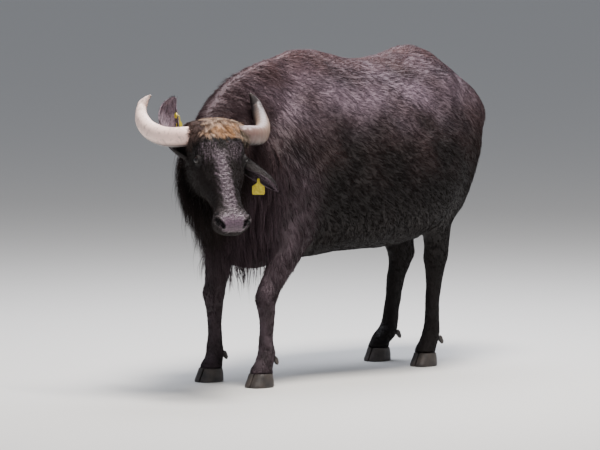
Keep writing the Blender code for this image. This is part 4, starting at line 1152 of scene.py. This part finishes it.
# The hooves and dewclaws: dense dark horn, worn round at the edge and ringed by growth. They are rounded
# copies of their solids. The growth rings are 6 mm apart and the darker patches about 40 mm across.
HOOF_VOXEL = {"claw": 0.0028, "dewclaw": 0.0012}
BAND_AT_SCALE_ONE = 1000 * 2 * math.pi / 20
hoof_look, tree, shader = new_material("worn dark hoof horn", {"Roughness": 0.5, "IOR": 1.54})
patches = pattern(tree, "TexNoise", spots_of(40), ("Detail", 4.0))
dark_and_pale = ramped(tree, patches, (0.30, "1d1a19"), (0.75, "4a413b"))
tree.links.new(dark_and_pale, shader.inputs["Base Color"])
uneven = (("Distortion", 2.5), ("Detail", 2.0))
band = pattern(tree, "TexWave", BAND_AT_SCALE_ONE / 5.71, *uneven, bands_direction="Z")
add_bump(tree, shader, band, 0.35, 0.0012)
for name in sorted(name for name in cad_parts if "claw_" in name):
    worn = welded_copy(f"worn_{name}", [name])
    add_modifier(worn, "REMESH", mode="VOXEL", voxel_size=HOOF_VOXEL[name.split("_")[0]])
    add_modifier(worn, "SMOOTH", factor=0.5, iterations=5)
    settle(worn)
    smooth(worn.data)
    worn.data.materials.append(hoof_look)
    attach(worn, "root")
    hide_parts(name)

# The ear tags: flexible yellow plastic, moulded in one thickness with rounded edges and pinned through the
# ear, a little faded, with scuffs of 9 mm and smaller. They are their solids with the edges rounded.
TAG_ROUNDING = {"width": 0.0004, "segments": 2, "limit_method": "ANGLE", "angle_limit": math.radians(35)}
tag_look, tree, shader = new_material("moulded yellow tag plastic", {"Roughness": 0.38, "IOR": 1.5})
scuffs = pattern(tree, "TexNoise", spots_of(9.09), ("Detail", 5.0))
faded = ramped(tree, scuffs, (0.35, "c4ad1e"), (0.65, "e6d640"))
tree.links.new(faded, shader.inputs["Base Color"])
add_bump(tree, shader, scuffs, 0.15, 0.0005)
for side_name in SIDES:
    tag = welded_copy(f"moulded_tag_{side_name}", [f"ear_tag_{side_name}"])
    add_modifier(tag, "BEVEL", **TAG_ROUNDING)
    settle(tag)
    tag.data.materials.append(tag_look)
    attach(tag, "root")
    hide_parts(f"ear_tag_{side_name}")

# The stage: a pale matt floor, soft lights above, behind and in front, a weak even sky, and a camera at the
# photograph's angle, with the withers at their place in its frame.
FLOOR_SIZE = 400
floor_mesh = bpy.data.meshes.new("floor")
half = FLOOR_SIZE / 2
floor_corners = [(-half, -half, 0), (half, -half, 0), (half, half, 0), (-half, half, 0)]
floor_mesh.from_pydata(floor_corners, [], [(0, 1, 2, 3)])
floor = placed("floor", floor_mesh)
floor_inputs = {"Base Color": (*linear("d9d8d4"), 1), "Roughness": 0.9}
floor_mesh.materials.append(new_material("matt pale floor", floor_inputs)[0])

world = bpy.data.worlds.new("soft sky")
world.use_nodes = True
world.node_tree.nodes["Background"].inputs["Color"].default_value = (*linear("dde2ee"), 1)
world.node_tree.nodes["Background"].inputs["Strength"].default_value = 0.38
bpy.context.scene.world = world

VIEW_AZIMUTH = math.radians(-50)
VIEW_ELEVATION = math.radians(5)
VIEW_DISTANCE = 32.0
METRES_A_PIXEL = 0.0042
WITHERS_PIXEL = (290, 48)
WITHERS_HEIGHT = 1.39
IMAGE_SIZE = (600, 450)
SENSOR = 36.0
flat = math.cos(VIEW_ELEVATION)
back = Vector((math.sin(VIEW_AZIMUTH) * flat, -math.cos(VIEW_AZIMUTH) * flat, math.sin(VIEW_ELEVATION)))
right = Vector((math.cos(VIEW_AZIMUTH), math.sin(VIEW_AZIMUTH), 0))
up = back.cross(right)
aim = WITHERS + Vector((0, 0, WITHERS_HEIGHT))
aim += right * ((IMAGE_SIZE[0] / 2 - WITHERS_PIXEL[0]) * METRES_A_PIXEL)
aim -= up * ((IMAGE_SIZE[1] / 2 - WITHERS_PIXEL[1]) * METRES_A_PIXEL)
camera = placed("camera", bpy.data.cameras.new("camera"))
camera.location = aim + back * VIEW_DISTANCE
camera.rotation_euler = (-back).to_track_quat("-Z", "Y").to_euler()
camera.data.sensor_width = SENSOR
camera.data.lens = SENSOR * VIEW_DISTANCE / (IMAGE_SIZE[0] * METRES_A_PIXEL)
camera.data.clip_end = 1000
bpy.context.scene.camera = camera


def soft_light(name, offset, size, power, code):
    """A square area light that looks at the cow's middle from this offset."""
    lamp = placed(name, bpy.data.lights.new(name, "AREA"))
    lamp.location = aim + offset
    lamp.rotation_euler = (-offset).to_track_quat("-Z", "Y").to_euler()
    lamp.data.size = size
    lamp.data.energy = power
    lamp.data.color = tuple(linear(code))


soft_light("key", right * 0.7 + Vector((0, 0, 5.0)) + back * 1.3, 2.0, 700, "fff9f4")
soft_light("back", -back * 2.5 + Vector((0, 0, 3.8)) + right * 0.5, 3.0, 260, "eef2ff")
soft_light("fill", back * 6 + Vector((0, 0, 1.0)) - right * 2.0, 5.0, 45, "ffffff")
